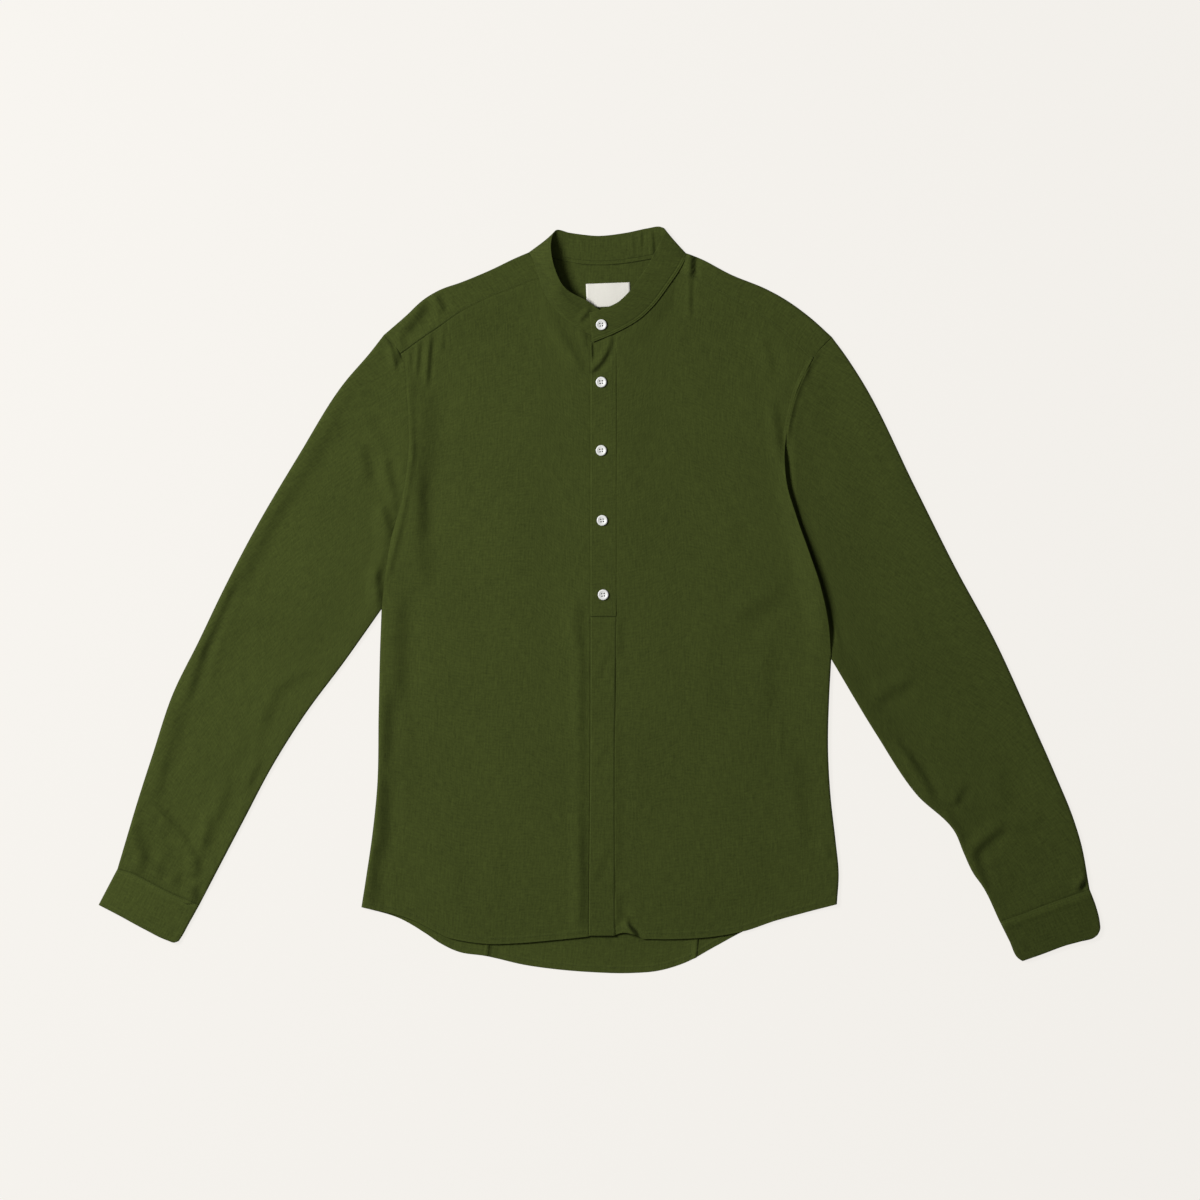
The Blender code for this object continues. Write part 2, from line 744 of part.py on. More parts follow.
def back_grid(name):
    right_edge, vs = body_edge("right", YOKE_SEAM_SHARE)
    left_edge, left_vs = body_edge("left", YOKE_SEAM_SHARE)
    us = back_columns(name, vs)
    rows = np.repeat(vs[:, None], us.shape[1], axis=1)
    rows[-1] -= SEAM_INSET / armhole_length("right")
    grid = patch(
        with_height(right_edge, 0.0),
        with_height(lambda v: left_edge(np.interp(v, vs, left_vs)), 0.0),
        with_height(smooth(BACK_HEM), 0.0),
        with_height(yoke_seam(), 0.0),
        us,
        rows,
    )
    to_edge = np.minimum(us, 1 - us) * BACK_WIDTH
    grid[..., 2] = MIDDLE * (1 - height_by_edge("right", to_edge, rows, YOKE_SEAM_SHARE))
    folded = vs <= UNDERARM_SHARE + 1e-9
    for side, edge, upright in (("right", 0, 1), ("left", -1, -2)):
        if name.endswith(side):
            grid[folded, edge, 2] = MIDDLE - CLEAR / 2
            grid[folded, upright, 2] = MIDDLE - UPRIGHT
            grid[folded.sum() - 1, [edge, upright], 2] -= UNDERARM_CLEAR - CLEAR / 2
    return grid


def shoulder_stops(side):
    """Shares along the shoulder fold from the armhole to the neck."""
    length = np.linalg.norm(np.diff(SHOULDER_FOLD[side], axis=0), axis=1).sum()
    return np.array([SEAM_INSET / length, *FRONT_COLUMNS, 1.0 - YOKE_NECK_INSET / length])


def yoke_over_shoulder(side):
    """The leaf that comes over the shoulder fold to the forward seam."""
    neck = neck_seam(f"{side} fold", f"{side} corner")
    rows = [*(np.array(FOLD_ROWS) / SHOULDER_DEPTH), 0.5, 1 - SEAM_INSET / SHOULDER_DEPTH]
    us, vs = np.meshgrid(shoulder_stops(side), rows)
    grid = patch(
        with_height(stretch_of(armhole(side), 0.0, FORWARD_SEAM_SHARE), 0.0),
        with_height(lambda t: neck(t)[..., :2], 0.0),
        with_height(smooth(SHOULDER_FOLD[side]), 0.0),
        with_height(forward_seam(side), 0.0),
        us,
        vs,
    )
    level = ARMHOLE_TOP + (SHOULDER_TOP - ARMHOLE_TOP) * (1 - fall(us * SHOULDER_LENGTH / SETTLE))
    grid[..., 2] = MIDDLE + (level - MIDDLE) * rounded(vs * SHOULDER_DEPTH)
    return grid


def yoke_lower_leaf():
    """The leaf on the surface, from the shoulder folds and the back of the neck to the yoke seam."""
    back_neck = neck_seam("right fold", "left fold")
    first, second = YOKE_NECK_SHARES
    top = chain(
        (smooth(SHOULDER_FOLD["right"]), first),
        (lambda t: back_neck(t)[..., :2], second),
        (stretch_of(smooth(SHOULDER_FOLD["left"]), 1.0, 0.0), 1.0),
    )
    right_stops = shoulder_stops("right") * first
    left_stops = 1 - (1 - second) * shoulder_stops("left")[::-1]
    neck_columns = first + (second - first) * neck_stops("right fold", "left fold")[1:-1]
    half_way = 1 - ARMHOLE_SHARES[0] / YOKE_SEAM_SHARE
    corner = 1 - FORWARD_SEAM_SHARE / YOKE_SEAM_SHARE
    near_fold = 1 - np.array(FOLD_ROWS[::-1]) / YOKE_DEPTH
    rows = [SEAM_INSET / YOKE_DEPTH, corner / 2, corner, half_way, *near_fold]
    us, vs = np.meshgrid(np.concatenate([right_stops, neck_columns, left_stops]), rows)
    at_shoulder = (us <= right_stops[-1] + 1e-9) | (us >= left_stops[0] - 1e-9)
    from_centre = np.abs((us - first) / (second - first) - 0.5) * 2
    neck_inset = 2 * SEAM_INSET + (YOKE_NECK_INSET - 2 * SEAM_INSET) * from_centre**4
    at_neck = vs * (1 - neck_inset / YOKE_NECK_DEPTH)
    grid = patch(
        with_height(stretch_of(armhole("right"), YOKE_SEAM_SHARE, 0.0), 0.0),
        with_height(stretch_of(armhole("left"), YOKE_SEAM_SHARE, 0.0), 0.0),
        with_height(yoke_seam(), 0.0),
        with_height(top, 0.0),
        us,
        np.where(at_shoulder, vs, at_neck),
    )
    grid[..., 2] = np.where(at_shoulder, MIDDLE * (1 - rounded((1 - vs) * YOKE_DEPTH)), 0.0)
    return grid


# ---------------------------------------------------------------------------------------------------------
# Placket, strip and band


def strip_grid(left_x, right_x, foot, head, top_height, rows):
    """A flat strip. The edges' across places and the ends' up places are functions of the other way."""
    up = np.linspace(0.0, 1.0, rows)
    across = np.linspace(0.0, 1.0, 3)
    us, vs = np.meshgrid(across, up)
    ends_x = left_x(0.5) + (right_x(0.5) - left_x(0.5)) * us
    y = foot(ends_x) + (head(ends_x) - foot(ends_x)) * vs
    x = left_x(y) + (right_x(y) - left_x(y)) * us
    return np.stack([x, y, np.full(x.shape, top_height)], axis=-1)


def edge_at(side):
    """How far across the centre edge of a front lies, as a function of up."""
    across, up = np.array(CENTRE_EDGE[side]).T
    return lambda y: np.interp(y, up, across)


def seam_up(start, end):
    """How far up the neck seam lies between two rows of NECK, as a function of across."""
    line = neck_seam(start, end)(neck_stops(start, end))[:, :2]
    beyond = [2 * line[0] - line[1], *line, 2 * line[-1] - line[-2]]
    across, up = np.array(sorted(map(tuple, beyond))).T
    return lambda x: np.interp(x, across, up)


def placket_grid():
    over = seam_up("placket seam", "upper end")
    return strip_grid(
        lambda y: edge_at("right")(y) - PLACKET_OVERHANG,
        lambda y: edge_at("left")(y) - SEAM_INSET,
        lambda x: np.full(np.shape(x), PLACKET_FOOT),
        lambda x: over(x) - 2 * SEAM_INSET,
        PLACKET_TOP,
        8,
    )


def button_stand_grid():
    under = seam_up("hidden end", "lap edge")
    return strip_grid(
        lambda y: edge_at("right")(y) + SEAM_INSET,
        lambda y: edge_at("left")(y) - STAND_INSET,
        lambda x: np.full(np.shape(x), PLACKET_FOOT),
        lambda x: under(x) - 2 * SEAM_INSET,
        BUTTON_STAND_TOP,
        8,
    )


def centre_strip_grid():
    hem_right, hem_left = CENTRE_EDGE["right"][0][1], CENTRE_EDGE["left"][0][1]
    return strip_grid(
        lambda y: edge_at("right")(y) + THICK_SEAM_INSET,
        lambda y: edge_at("left")(y) - THICK_SEAM_INSET,
        lambda x: np.full(np.shape(x), (hem_right + hem_left) / 2),
        lambda x: np.full(np.shape(x), PLACKET_FOOT - 2 * SEAM_INSET),
        STRIP_TOP,
        8,
    )


def band_grid():
    """The band from its hidden end round the neck to its upper end, foot to head."""
    foot, head = neck_rows("hidden end", "upper end")
    shares = np.array([SEAM_INSET / BAND_HEIGHT, 0.35, 0.7, 1.0])
    return foot[None] + (head - foot)[None] * shares[:, None, None]


def label_grid():
    us, vs = np.meshgrid(np.linspace(-0.5, 0.5, 3), np.linspace(-0.5, 0.5, 3))
    x, y = us * LABEL_SIZE[0], vs * LABEL_SIZE[1]
    turned_x = LABEL_CENTRE[0] + x * math.cos(LABEL_TURN) - y * math.sin(LABEL_TURN)
    turned_y = LABEL_CENTRE[1] + x * math.sin(LABEL_TURN) + y * math.cos(LABEL_TURN)
    return np.stack([turned_x, turned_y, np.full(us.shape, CLOTH + CLEAR + LABEL_WALL)], axis=-1)


# ---------------------------------------------------------------------------------------------------------
# Sleeves and cuffs


def sleeve_grid(side):
    """The sleeve's tube: the upper leaf from the outer fold to the inner, and back under it."""
    hole, seam = armhole(side), smooth(CUFF_SEAM[side])
    outer, inner = smooth(SLEEVE_OUTER[side]), smooth(SLEEVE_INNER[side])
    vs = np.array([*UPPER_SLEEVE_ROWS, *LOWER_SLEEVE_ROWS])
    vs[0], vs[-1] = SEAM_INSET / SLEEVE_LENGTH, 1 - SEAM_INSET / SLEEVE_LENGTH
    wide = np.linalg.norm(outer(vs) - inner(vs), axis=1)
    wide[0] = armhole_length(side)
    near = np.array(FOLD_ROWS) / wide[:, None]
    flat = np.broadcast_to(ARMHOLE_SHARES, (len(vs), len(ARMHOLE_SHARES)))
    us = np.concatenate([near, flat, 1 - near[:, ::-1]], axis=1)
    rows = np.repeat(vs[:, None], us.shape[1], axis=1)
    left, right = with_height(outer, SIDE_TOP), with_height(inner, SIDE_TOP)
    bottom = with_height(hole, SLEEVE_HEAD_TOP)
    top = with_height(seam, CUFF_SEAM_TOP)
    upper = patch(left, right, bottom, top, us, rows)
    reach = np.minimum(SETTLE, SLEEVE_SPREAD * wide)[:, None]
    size = (wide[:, None], SLEEVE_LENGTH)
    upper[..., 2] = settled((left, right, bottom, top), us, rows, size, SLEEVE_REST, reach)
    add_folds(upper)
    from_fold = np.minimum(us, 1 - us) * wide[:, None]
    upper[..., 2] = MIDDLE + (upper[..., 2] - MIDDLE) * rounded(from_fold)
    lower = upper[:, -2:0:-1].copy()
    lower[..., 2] = (MIDDLE * (1 - rounded(from_fold)))[:, -2:0:-1]
    return np.concatenate([upper, lower], axis=1)


def cuff_surface(side):
    """Places on a cuff, as a function of the shares across and along it."""
    seam, edge = smooth(CUFF_SEAM[side]), smooth(CUFF_EDGE[side])
    left = smooth([CUFF_SEAM[side][0], CUFF_EDGE[side][0]])
    right = smooth([CUFF_SEAM[side][-1], CUFF_EDGE[side][-1]])
    return lambda us, vs: patch(left, right, seam, edge, us, vs)


def cuff_grid(side):
    """The cuff's strip, whose ends lap on the hidden side."""
    wide = np.linalg.norm(np.subtract(CUFF_SEAM[side][0], CUFF_SEAM[side][-1]))
    turn = [(d / wide, 1 - rounded(d), 1 + rounded(d)) for d in FOLD_ROWS]
    outer_fold = [(u, MIDDLE * low, MIDDLE * low) for u, low, _ in turn[::-1]]
    outer_fold += [(u, MIDDLE * high, MIDDLE * high) for u, _, high in turn[1:]]
    inner_fold = [(1 - u, low, other) for u, low, other in outer_fold[::-1]]
    path = np.array([*CUFF_LAP, *outer_fold, *CUFF_TOP, *inner_fold, *CUFF_UNDER_LAP], float)
    vs = np.array(CUFF_ROWS)
    vs[0] = SEAM_INSET / CUFF_LENGTH
    lift = 1 - fall(vs / CUFF_RISE)
    us, rows = np.meshgrid(path[:, 0], vs)
    flat = cuff_surface(side)(us, rows)
    height = path[:, 1] + (path[:, 2] - path[:, 1]) * lift[:, None]
    return np.concatenate([flat, height[..., None]], axis=-1)


# ---------------------------------------------------------------------------------------------------------
# Buttons


def button_profile(thick):
    """Half the section of a button, from the middle of its dished face down its outer side."""
    radius = BUTTON_ACROSS / 2
    return (
        (0.0, thick - BUTTON_DISH),
        (radius - BUTTON_RIM - BUTTON_BEVEL, thick - BUTTON_DISH),
        (radius - BUTTON_RIM, thick),
        (radius - BUTTON_BEVEL, thick),
        (radius, thick * 0.6),
        (radius - 2 * BUTTON_BEVEL, 0.0),
        (0.0, 0.0),
    )


def button_blank(name, thick):
    """A turned button, as a mesh with no modifier left."""
    mesh = bpy.data.meshes.new(name)
    profile = [(x * MM, 0.0, z * MM) for x, z in button_profile(thick)]
    mesh.from_pydata(profile, [(i, i + 1) for i in range(len(profile) - 1)], [])
    turned = bpy.data.objects.new(name, mesh)
    bpy.context.scene.collection.objects.link(turned)
    screw = turned.modifiers.new("Turn", "SCREW")
    screw.steps = screw.render_steps = BUTTON_SIDES
    screw.use_merge_vertices = True
    screw.merge_threshold = 0.00001
    return turned


def hole_cutter(cutters, name, button):
    """Four upright prisms where the thread goes through a button."""
    work = bmesh.new()
    for across in (-0.5, 0.5):
        for along in (-0.5, 0.5):
            place = (across * THREAD_HOLE_APART * MM, along * THREAD_HOLE_APART * MM, 0.0)
            bmesh.ops.create_cone(
                work,
                cap_ends=True,
                segments=THREAD_HOLE_SIDES,
                radius1=THREAD_HOLE / 2 * MM,
                radius2=THREAD_HOLE / 2 * MM,
                depth=3 * BUTTON_THICK * MM,
                matrix=Matrix.Translation(place),
            )
    mesh = bpy.data.meshes.new(name)
    work.to_mesh(mesh)
    work.free()
    cutter = bpy.data.objects.new(name, mesh)
    cutter.hide_render = True
    cutter.display_type = "WIRE"
    cutters.objects.link(cutter)
    cutter.parent = button
    return cutter


def make_button(collection, cutters, name, place, tilt=(0.0, 0.0, 0.0), thick=BUTTON_THICK):
    """A four-hole button with its back at place."""
    button = button_blank(name, thick)
    bpy.context.scene.collection.objects.unlink(button)
    collection.objects.link(button)
    button.data.materials.append(principled(*BUTTON_LOOK))
    button.data.shade_smooth()
    button.location = [c * MM for c in place]
    button.rotation_euler = tilt
    cut = button.modifiers.new("Thread holes", "BOOLEAN")
    cut.operation = "DIFFERENCE"
    cut.object = hole_cutter(cutters, f"{name}_holes", button)
    return button


def band_button_place():
    """Where the band's button sits: on the band's upper end, tilted as the band is."""
    foot, head = neck_rows("placket seam", "upper end")
    middle = (foot.mean(axis=0) + head.mean(axis=0)) / 2
    slope = (head - foot).mean(axis=0)
    lean = math.atan2(slope[2], slope[1])
    height = middle[2] + (BAND_BUTTON[1] - middle[1]) * math.tan(lean)
    return (*BAND_BUTTON, height + 1.5 * CLEAR), lean


def cuff_button_place(side):
    across, along = cuff_surface(side)(np.array(CUFF_BUTTON_AT[0]), np.array(CUFF_BUTTON_AT[1]))
    return across, along, CUFF_LAP[1][2] - CLEAR


# ---------------------------------------------------------------------------------------------------------
# The shirt


def clear_scene():
    for found in list(bpy.data.objects):
        bpy.data.objects.remove(found, do_unlink=True)


def new_collection(name):
    made = bpy.data.collections.new(name)
    bpy.context.scene.collection.children.link(made)
    return made


def build():
    clear_scene()
    shirt = new_collection("Band-collar shirt")
    cutters = new_collection("Cutters")
    for side in ("right", "left"):
        make_cloth(shirt, f"front_{side}", [front_grid(side)], CLOTH, CLOTH_LOOK, middle=0.0)
        make_cloth(shirt, f"sleeve_{side}", [sleeve_grid(side)], CLOTH, CLOTH_LOOK, ring=True)
        make_cloth(shirt, f"cuff_{side}", [cuff_grid(side)], CLOTH, CLOTH_LOOK)
        make_button(
            shirt,
            cutters,
            f"cuff_button_{side}",
            cuff_button_place(side),
            tilt=(math.pi, 0.0, 0.0),
            thick=CUFF_BUTTON_THICK,
        )
    for name in BACK_COLUMNS:
        make_cloth(shirt, name, [back_grid(name)], CLOTH, CLOTH_LOOK, middle=10.0)
    yoke = [yoke_over_shoulder("right"), yoke_lower_leaf(), yoke_over_shoulder("left")]
    make_cloth(shirt, "yoke", yoke, CLOTH, CLOTH_LOOK)
    make_cloth(shirt, "placket", [placket_grid()], PLACKET_WALL, CLOTH_LOOK)
    make_cloth(shirt, "button_stand", [button_stand_grid()], PLACKET_WALL, CLOTH_LOOK, middle=0.0)
    make_cloth(shirt, "centre_strip", [centre_strip_grid()], PLACKET_WALL, CLOTH_LOOK)
    make_cloth(shirt, "collar_band", [band_grid()], BAND_WALL, CLOTH_LOOK)
    make_cloth(shirt, "neck_label", [label_grid()], LABEL_WALL, LABEL_LOOK, middle=0.0)
    place, lean = band_button_place()
    make_button(shirt, cutters, "button_1", place, tilt=(lean, 0.0, 0.0))
    for number, (across, up) in enumerate(PLACKET_BUTTONS, start=2):
        make_button(shirt, cutters, f"button_{number}", (across, up, PLACKET_TOP + CLEAR))


build()
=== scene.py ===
# %% [markdown]
# # A band-collar popover shirt, laid flat
#
# The shirt lies on its back with its sleeves spread, seen from straight above. It is cut from olive linen
# and has a standing collar band, a half placket with four buttons and a plain strip from there to the hem.
# We build each piece of cloth as a maker would cut it. Each one is lofted between its own edges, pressed
# with the creases it has in real life, and given the thickness of real cloth. Sewing and buttons come last.

import math

import bmesh
import bpy
import numpy as np
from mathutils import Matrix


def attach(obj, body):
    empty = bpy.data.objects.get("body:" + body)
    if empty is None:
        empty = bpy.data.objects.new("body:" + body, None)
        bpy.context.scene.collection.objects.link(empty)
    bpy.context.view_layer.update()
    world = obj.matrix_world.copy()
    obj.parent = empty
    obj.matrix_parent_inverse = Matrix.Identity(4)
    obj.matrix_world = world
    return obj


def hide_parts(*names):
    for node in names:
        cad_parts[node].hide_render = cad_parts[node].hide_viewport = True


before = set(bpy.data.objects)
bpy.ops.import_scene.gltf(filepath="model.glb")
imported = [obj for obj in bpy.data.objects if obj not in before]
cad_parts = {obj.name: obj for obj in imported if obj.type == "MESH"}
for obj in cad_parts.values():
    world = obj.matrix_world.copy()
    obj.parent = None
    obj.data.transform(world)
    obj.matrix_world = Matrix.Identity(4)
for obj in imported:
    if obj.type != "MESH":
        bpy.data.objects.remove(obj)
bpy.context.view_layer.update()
MM = 0.001

# %% [markdown]
# ## The shirt's measurements
#
# All lengths are millimetres. X runs to the wearer's left, Y to the neck, and Z up from the table. The
# heights say how high the outside of each layer lies. A shirt on a table is two layers, with air in its
# folds.

# %% Heights
SIDES = ("right", "left")
MIDDLE = 3.0  # every fold and side seam, half way up its rounded edge
FOLD = 3.0  # radius of that rounded edge
FRONT_REST = 3.1
SLEEVE_REST = 3.2
SIDE_TOP = 6.0
ARMHOLE_TOP = 5.5
SLEEVE_HEAD_TOP = 4.9
SHOULDER_TOP = 6.2
CUFF_SEAM_TOP = 6.2
HEM_TOP = 3.6
PLACKET_TOP = 5.3
BUTTON_STAND_TOP = 3.0
STRIP_TOP = 4.5
CENTRE_TOP = {"right": 3.3, "left": 5.1}
SETTLE = 45.0  # how far from an edge the cloth takes to sink to its rest
HEM_CORNER = 25.0
SEAM_INSET = 0.05  # how far each sewn edge stops short of its seam line
LAP = 0.4  # how far the upper piece of a seam passes it
SHELL = 0.6  # thickness of one layer of cloth
DOUBLE_SHELL = 0.9  # band, cuffs and plackets are two layers

# %% Shares of the edges where pieces meet
FORWARD_SEAM_SHARE = 0.09  # of the armhole, from the shoulder down
YOKE_SEAM_SHARE = 0.17
UNDERARM_SHARE = 0.46  # of a panel's edge that is side seam, the rest being armhole
NECK_CORNER_SHARE = {"right": 0.72, "left": 0.67}
YOKE_NECK_SHARES = (0.336, 0.658)
BACK_SEAM_SHARES = (0.274, 0.690)
YOKE_SEAM_CENTRE = (0.0, 256.0)
BACK_WIDTH = 480.0
YOKE_DEPTH = 60.0
YOKE_NECK_DEPTH = 105.0
SHOULDER_DEPTH = 26.0
SHOULDER_LENGTH = 180.0
FRONT_LENGTH = 700.0
PLACKET_FOOT = -17.8
PLACKET_OVERHANG = 0.4
SLEEVE_LENGTH = 520.0
CUFF_LENGTH = 38.0

# %% Edges of the body. Columns: across, up
SIDE_SEAM = {
    "right": (
        (-252.5, -325.5), (-247.4, -293.0), (-240.5, -245.0), (-236.0, -200.0), (-234.3, -120.0),
        (-232.8, -53.0), (-231.2, -10.0),
    ),
    "left": (
        (251.3, -322.4), (253.2, -290.0), (249.9, -255.0), (244.8, -210.0), (242.0, -160.0),
        (243.0, -106.0), (245.3, -63.0),
    ),
}
ARMHOLE = {
    "right": (
        (-228.7, 280.7), (-211.5, 261.5), (-204.3, 213.0), (-202.7, 159.0), (-205.4, 132.0),
        (-212.3, 97.0), (-221.7, 62.0), (-227.6, 24.0), (-231.2, -10.0),
    ),
    "left": (
        (245.8, 278.6), (232.4, 264.8), (219.3, 243.1), (208.0, 218.7), (201.0, 191.0), (196.0, 158.0),
        (198.2, 122.0), (208.2, 88.0), (221.4, 50.7), (233.6, 14.7), (242.0, -23.5), (245.3, -63.0),
    ),
}
SHOULDER_FOLD = {
    "right": (
        (-228.7, 280.7), (-205.4, 300.9), (-186.3, 318.5), (-170.4, 328.0), (-146.0, 336.8),
        (-115.3, 349.6), (-87.7, 362.8), (-75.8, 367.8),
    ),
    "left": (
        (245.8, 278.6), (223.4, 298.8), (197.0, 318.0), (178.3, 328.4), (139.1, 344.6), (103.1, 363.0),
        (91.2, 367.3),
    ),
}
FORWARD_SEAM = {
    "right": ((-186.3, 278.3), (-173.0, 287.5), (-146.0, 306.2), (-118.5, 320.2), (-92.0, 330.8)),
    "left": ((194.2, 283.5), (151.8, 312.6), (129.6, 324.0), (108.4, 336.0)),
}
FRONT_HEM = {
    "right": (
        (-252.5, -325.5), (-198.0, -339.4), (-175.1, -351.0), (-161.9, -357.4), (-142.8, -361.8),
        (-120.6, -364.5), (-86.0, -363.8), (-48.5, -360.6), (-11.4, -356.8),
    ),
    "left": (
        (251.3, -322.4), (211.2, -333.0), (184.7, -340.4), (155.0, -350.5), (131.7, -355.3),
        (79.8, -359.5), (53.0, -359.3), (44.6, -358.8), (41.4, -356.0), (34.3, -354.0), (24.5, -352.8),
        (15.7, -355.2),
    ),
}
BACK_HEM = (
    (-252.5, -325.5), (-211.0, -338.0), (-184.5, -353.5), (-169.3, -363.8), (-150.3, -372.8),
    (-120.6, -377.5), (-78.5, -387.1), (-48.5, -391.3), (-10.3, -394.5), (35.2, -395.5),
    (60.0, -393.5), (88.2, -385.5), (123.2, -366.9), (155.0, -350.0), (185.0, -339.0), (251.3, -322.4),
)
CENTRE_EDGE = {
    "right": ((-11.4, -356.8), (-9.6, -160.0), (-9.5, -17.0), (-9.5, 281.5)),
    "left": ((15.7, -355.2), (15.2, -160.0), (17.2, -17.0), (17.2, 284.4)),
}
NECK_END = {"right": "lap edge", "left": "placket seam"}

# %% The neck, round from the band's hidden end to its upper end
# Columns: name, foot across, foot up, foot height, head across, head up, head height
NECK = (
    ("hidden end", 14.0, 275.5, 3.1, 12.5, 303.5, 5.0),
    ("under the lap", 2.0, 277.5, 3.1, 1.5, 306.5, 5.6),
    ("lap edge", -9.5, 281.5, 3.4, -7.5, 312.6, 6.6),
    ("right low", -26.2, 290.9, 4.4, -15.0, 317.6, 9.2),
    ("right front", -38.3, 299.6, 5.3, -28.4, 324.0, 13.6),
    ("right high", -53.8, 316.5, 5.9, -37.6, 331.0, 18.4),
    ("right corner", -64.5, 341.0, 6.2, -45.4, 344.5, 21.0),
    ("right side", -69.5, 356.5, 6.2, -50.2, 360.2, 21.6),
    ("right turn", -73.6, 364.8, 5.4, -51.7, 375.0, 19.0),
    ("right fold", -75.8, 367.8, 3.0, -50.5, 384.5, 14.0),
    ("right back", -66.0, 366.6, 0.6, -47.0, 391.0, 7.6),
    ("back 1", -42.1, 361.0, 0.0, -32.0, 389.0, 2.0),
    ("back 2", -22.0, 357.3, 0.0, -18.0, 387.0, 0.6),
    ("centre back", -1.9, 356.0, 0.0, -1.9, 385.7, 0.0),
    ("back 3", 28.0, 357.9, 0.0, 28.0, 389.0, 0.0),
    ("back 4", 54.9, 362.4, 0.0, 50.0, 393.6, 0.6),
    ("left back", 77.0, 366.8, 0.6, 64.5, 395.2, 3.0),
    ("left fold", 91.2, 367.3, 3.0, 69.5, 391.0, 6.0),
    ("left turn", 89.3, 361.0, 5.4, 63.0, 377.0, 8.5),
    ("left corner", 82.2, 348.1, 6.2, 55.0, 361.5, 9.5),
    ("left high", 71.3, 332.4, 6.2, 48.4, 350.0, 10.2),
    ("left front", 56.7, 312.9, 6.2, 38.4, 336.0, 10.4),
    ("left middle", 43.2, 299.7, 6.2, 30.8, 325.8, 10.4),
    ("left low", 28.7, 290.3, 6.1, 19.0, 315.0, 10.0),
    ("placket seam", 17.2, 284.4, 6.1, 9.5, 310.3, 9.4),
    ("upper end", -7.9, 273.9, 6.0, -10.9, 304.0, 8.8),
)
NECK_NAMES = [row[0] for row in NECK]

# %% Edges of the sleeves and cuffs. Columns: across, up
SLEEVE_OUTER = {
    "right": (
        (-228.7, 280.7), (-243.5, 261.7), (-270.0, 230.9), (-318.8, 153.5), (-368.6, 68.7),
        (-399.4, 9.4), (-424.8, -43.6), (-452.4, -99.8), (-473.6, -163.4), (-491.6, -219.6),
        (-500.1, -248.2), (-511.0, -285.0),
    ),
    "left": (
        (245.8, 278.6), (260.0, 259.5), (275.9, 235.2), (335.2, 117.5), (377.1, 33.8), (419.0, -43.6),
        (454.5, -121.0), (482.6, -184.6), (502.5, -233.4), (509.5, -256.0), (519.0, -306.5),
    ),
}
SLEEVE_INNER = {
    "right": (
        (-231.2, -10.0), (-270.0, -64.8), (-311.9, -121.0), (-347.4, -177.2), (-377.1, -233.4),
        (-396.6, -270.5), (-424.3, -323.5),
    ),
    "left": (
        (245.3, -63.0), (292.8, -142.2), (335.2, -205.8), (377.1, -247.7), (385.5, -268.0),
        (395.6, -289.5), (405.5, -303.5), (423.8, -341.0),
    ),
}
CUFF_SEAM = {
    "right": ((-511.0, -285.0), (-494.8, -290.0), (-476.7, -299.1), (-459.8, -308.1), (-424.3, -323.5)),
    "left": ((519.0, -306.5), (490.0, -316.7), (468.4, -324.5), (446.5, -333.0), (423.8, -341.0)),
}
CUFF_EDGE = {
    "right": (
        (-530.9, -323.0), (-510.7, -333.4), (-483.1, -348.4), (-457.7, -360.8), (-450.5, -363.0),
        (-445.8, -361.4),
    ),
    "left": (
        (527.8, -354.6), (523.6, -357.8), (508.6, -362.0), (493.2, -366.2), (468.4, -375.4), (447.6, -382.7),
    ),
}
CUFF_OUTER = {"right": ((-521.5, -305.0),), "left": ((525.8, -324.5), (529.8, -341.0), (530.2, -349.5))}
CUFF_INNER = {"right": ((-436.0, -344.5), (-441.8, -355.2)), "left": ((433.8, -361.0), (443.6, -380.0))}

# %% The path of a cuff's strip, from its upper lap on the hidden side round to its under lap
# Columns: share across from the outer fold, height at the sleeve, height at the button
CUFF_LAP = ((0.46, 0.0, 2.6), (0.36, 0.0, 2.6), (0.24, 0.0, 2.6), (0.12, 0.0, 1.2))
CUFF_TOP = (
    (0.12, 6.1, 6.4),
    (0.24, 6.2, 6.8),
    (0.36, 6.2, 6.8),
    (0.5, 6.2, 6.8),
    (0.7, 6.2, 6.5),
    (0.88, 6.1, 6.2),
)
CUFF_UNDER_LAP = (
    (0.9, 0.0, 0.0),
    (0.74, 0.3, 0.8),
    (0.6, 1.0, 2.6),
    (0.48, 1.5, 4.1),
    (0.36, 1.5, 4.1),
    (0.24, 1.5, 4.1),
    (0.18, 1.5, 4.1),
)
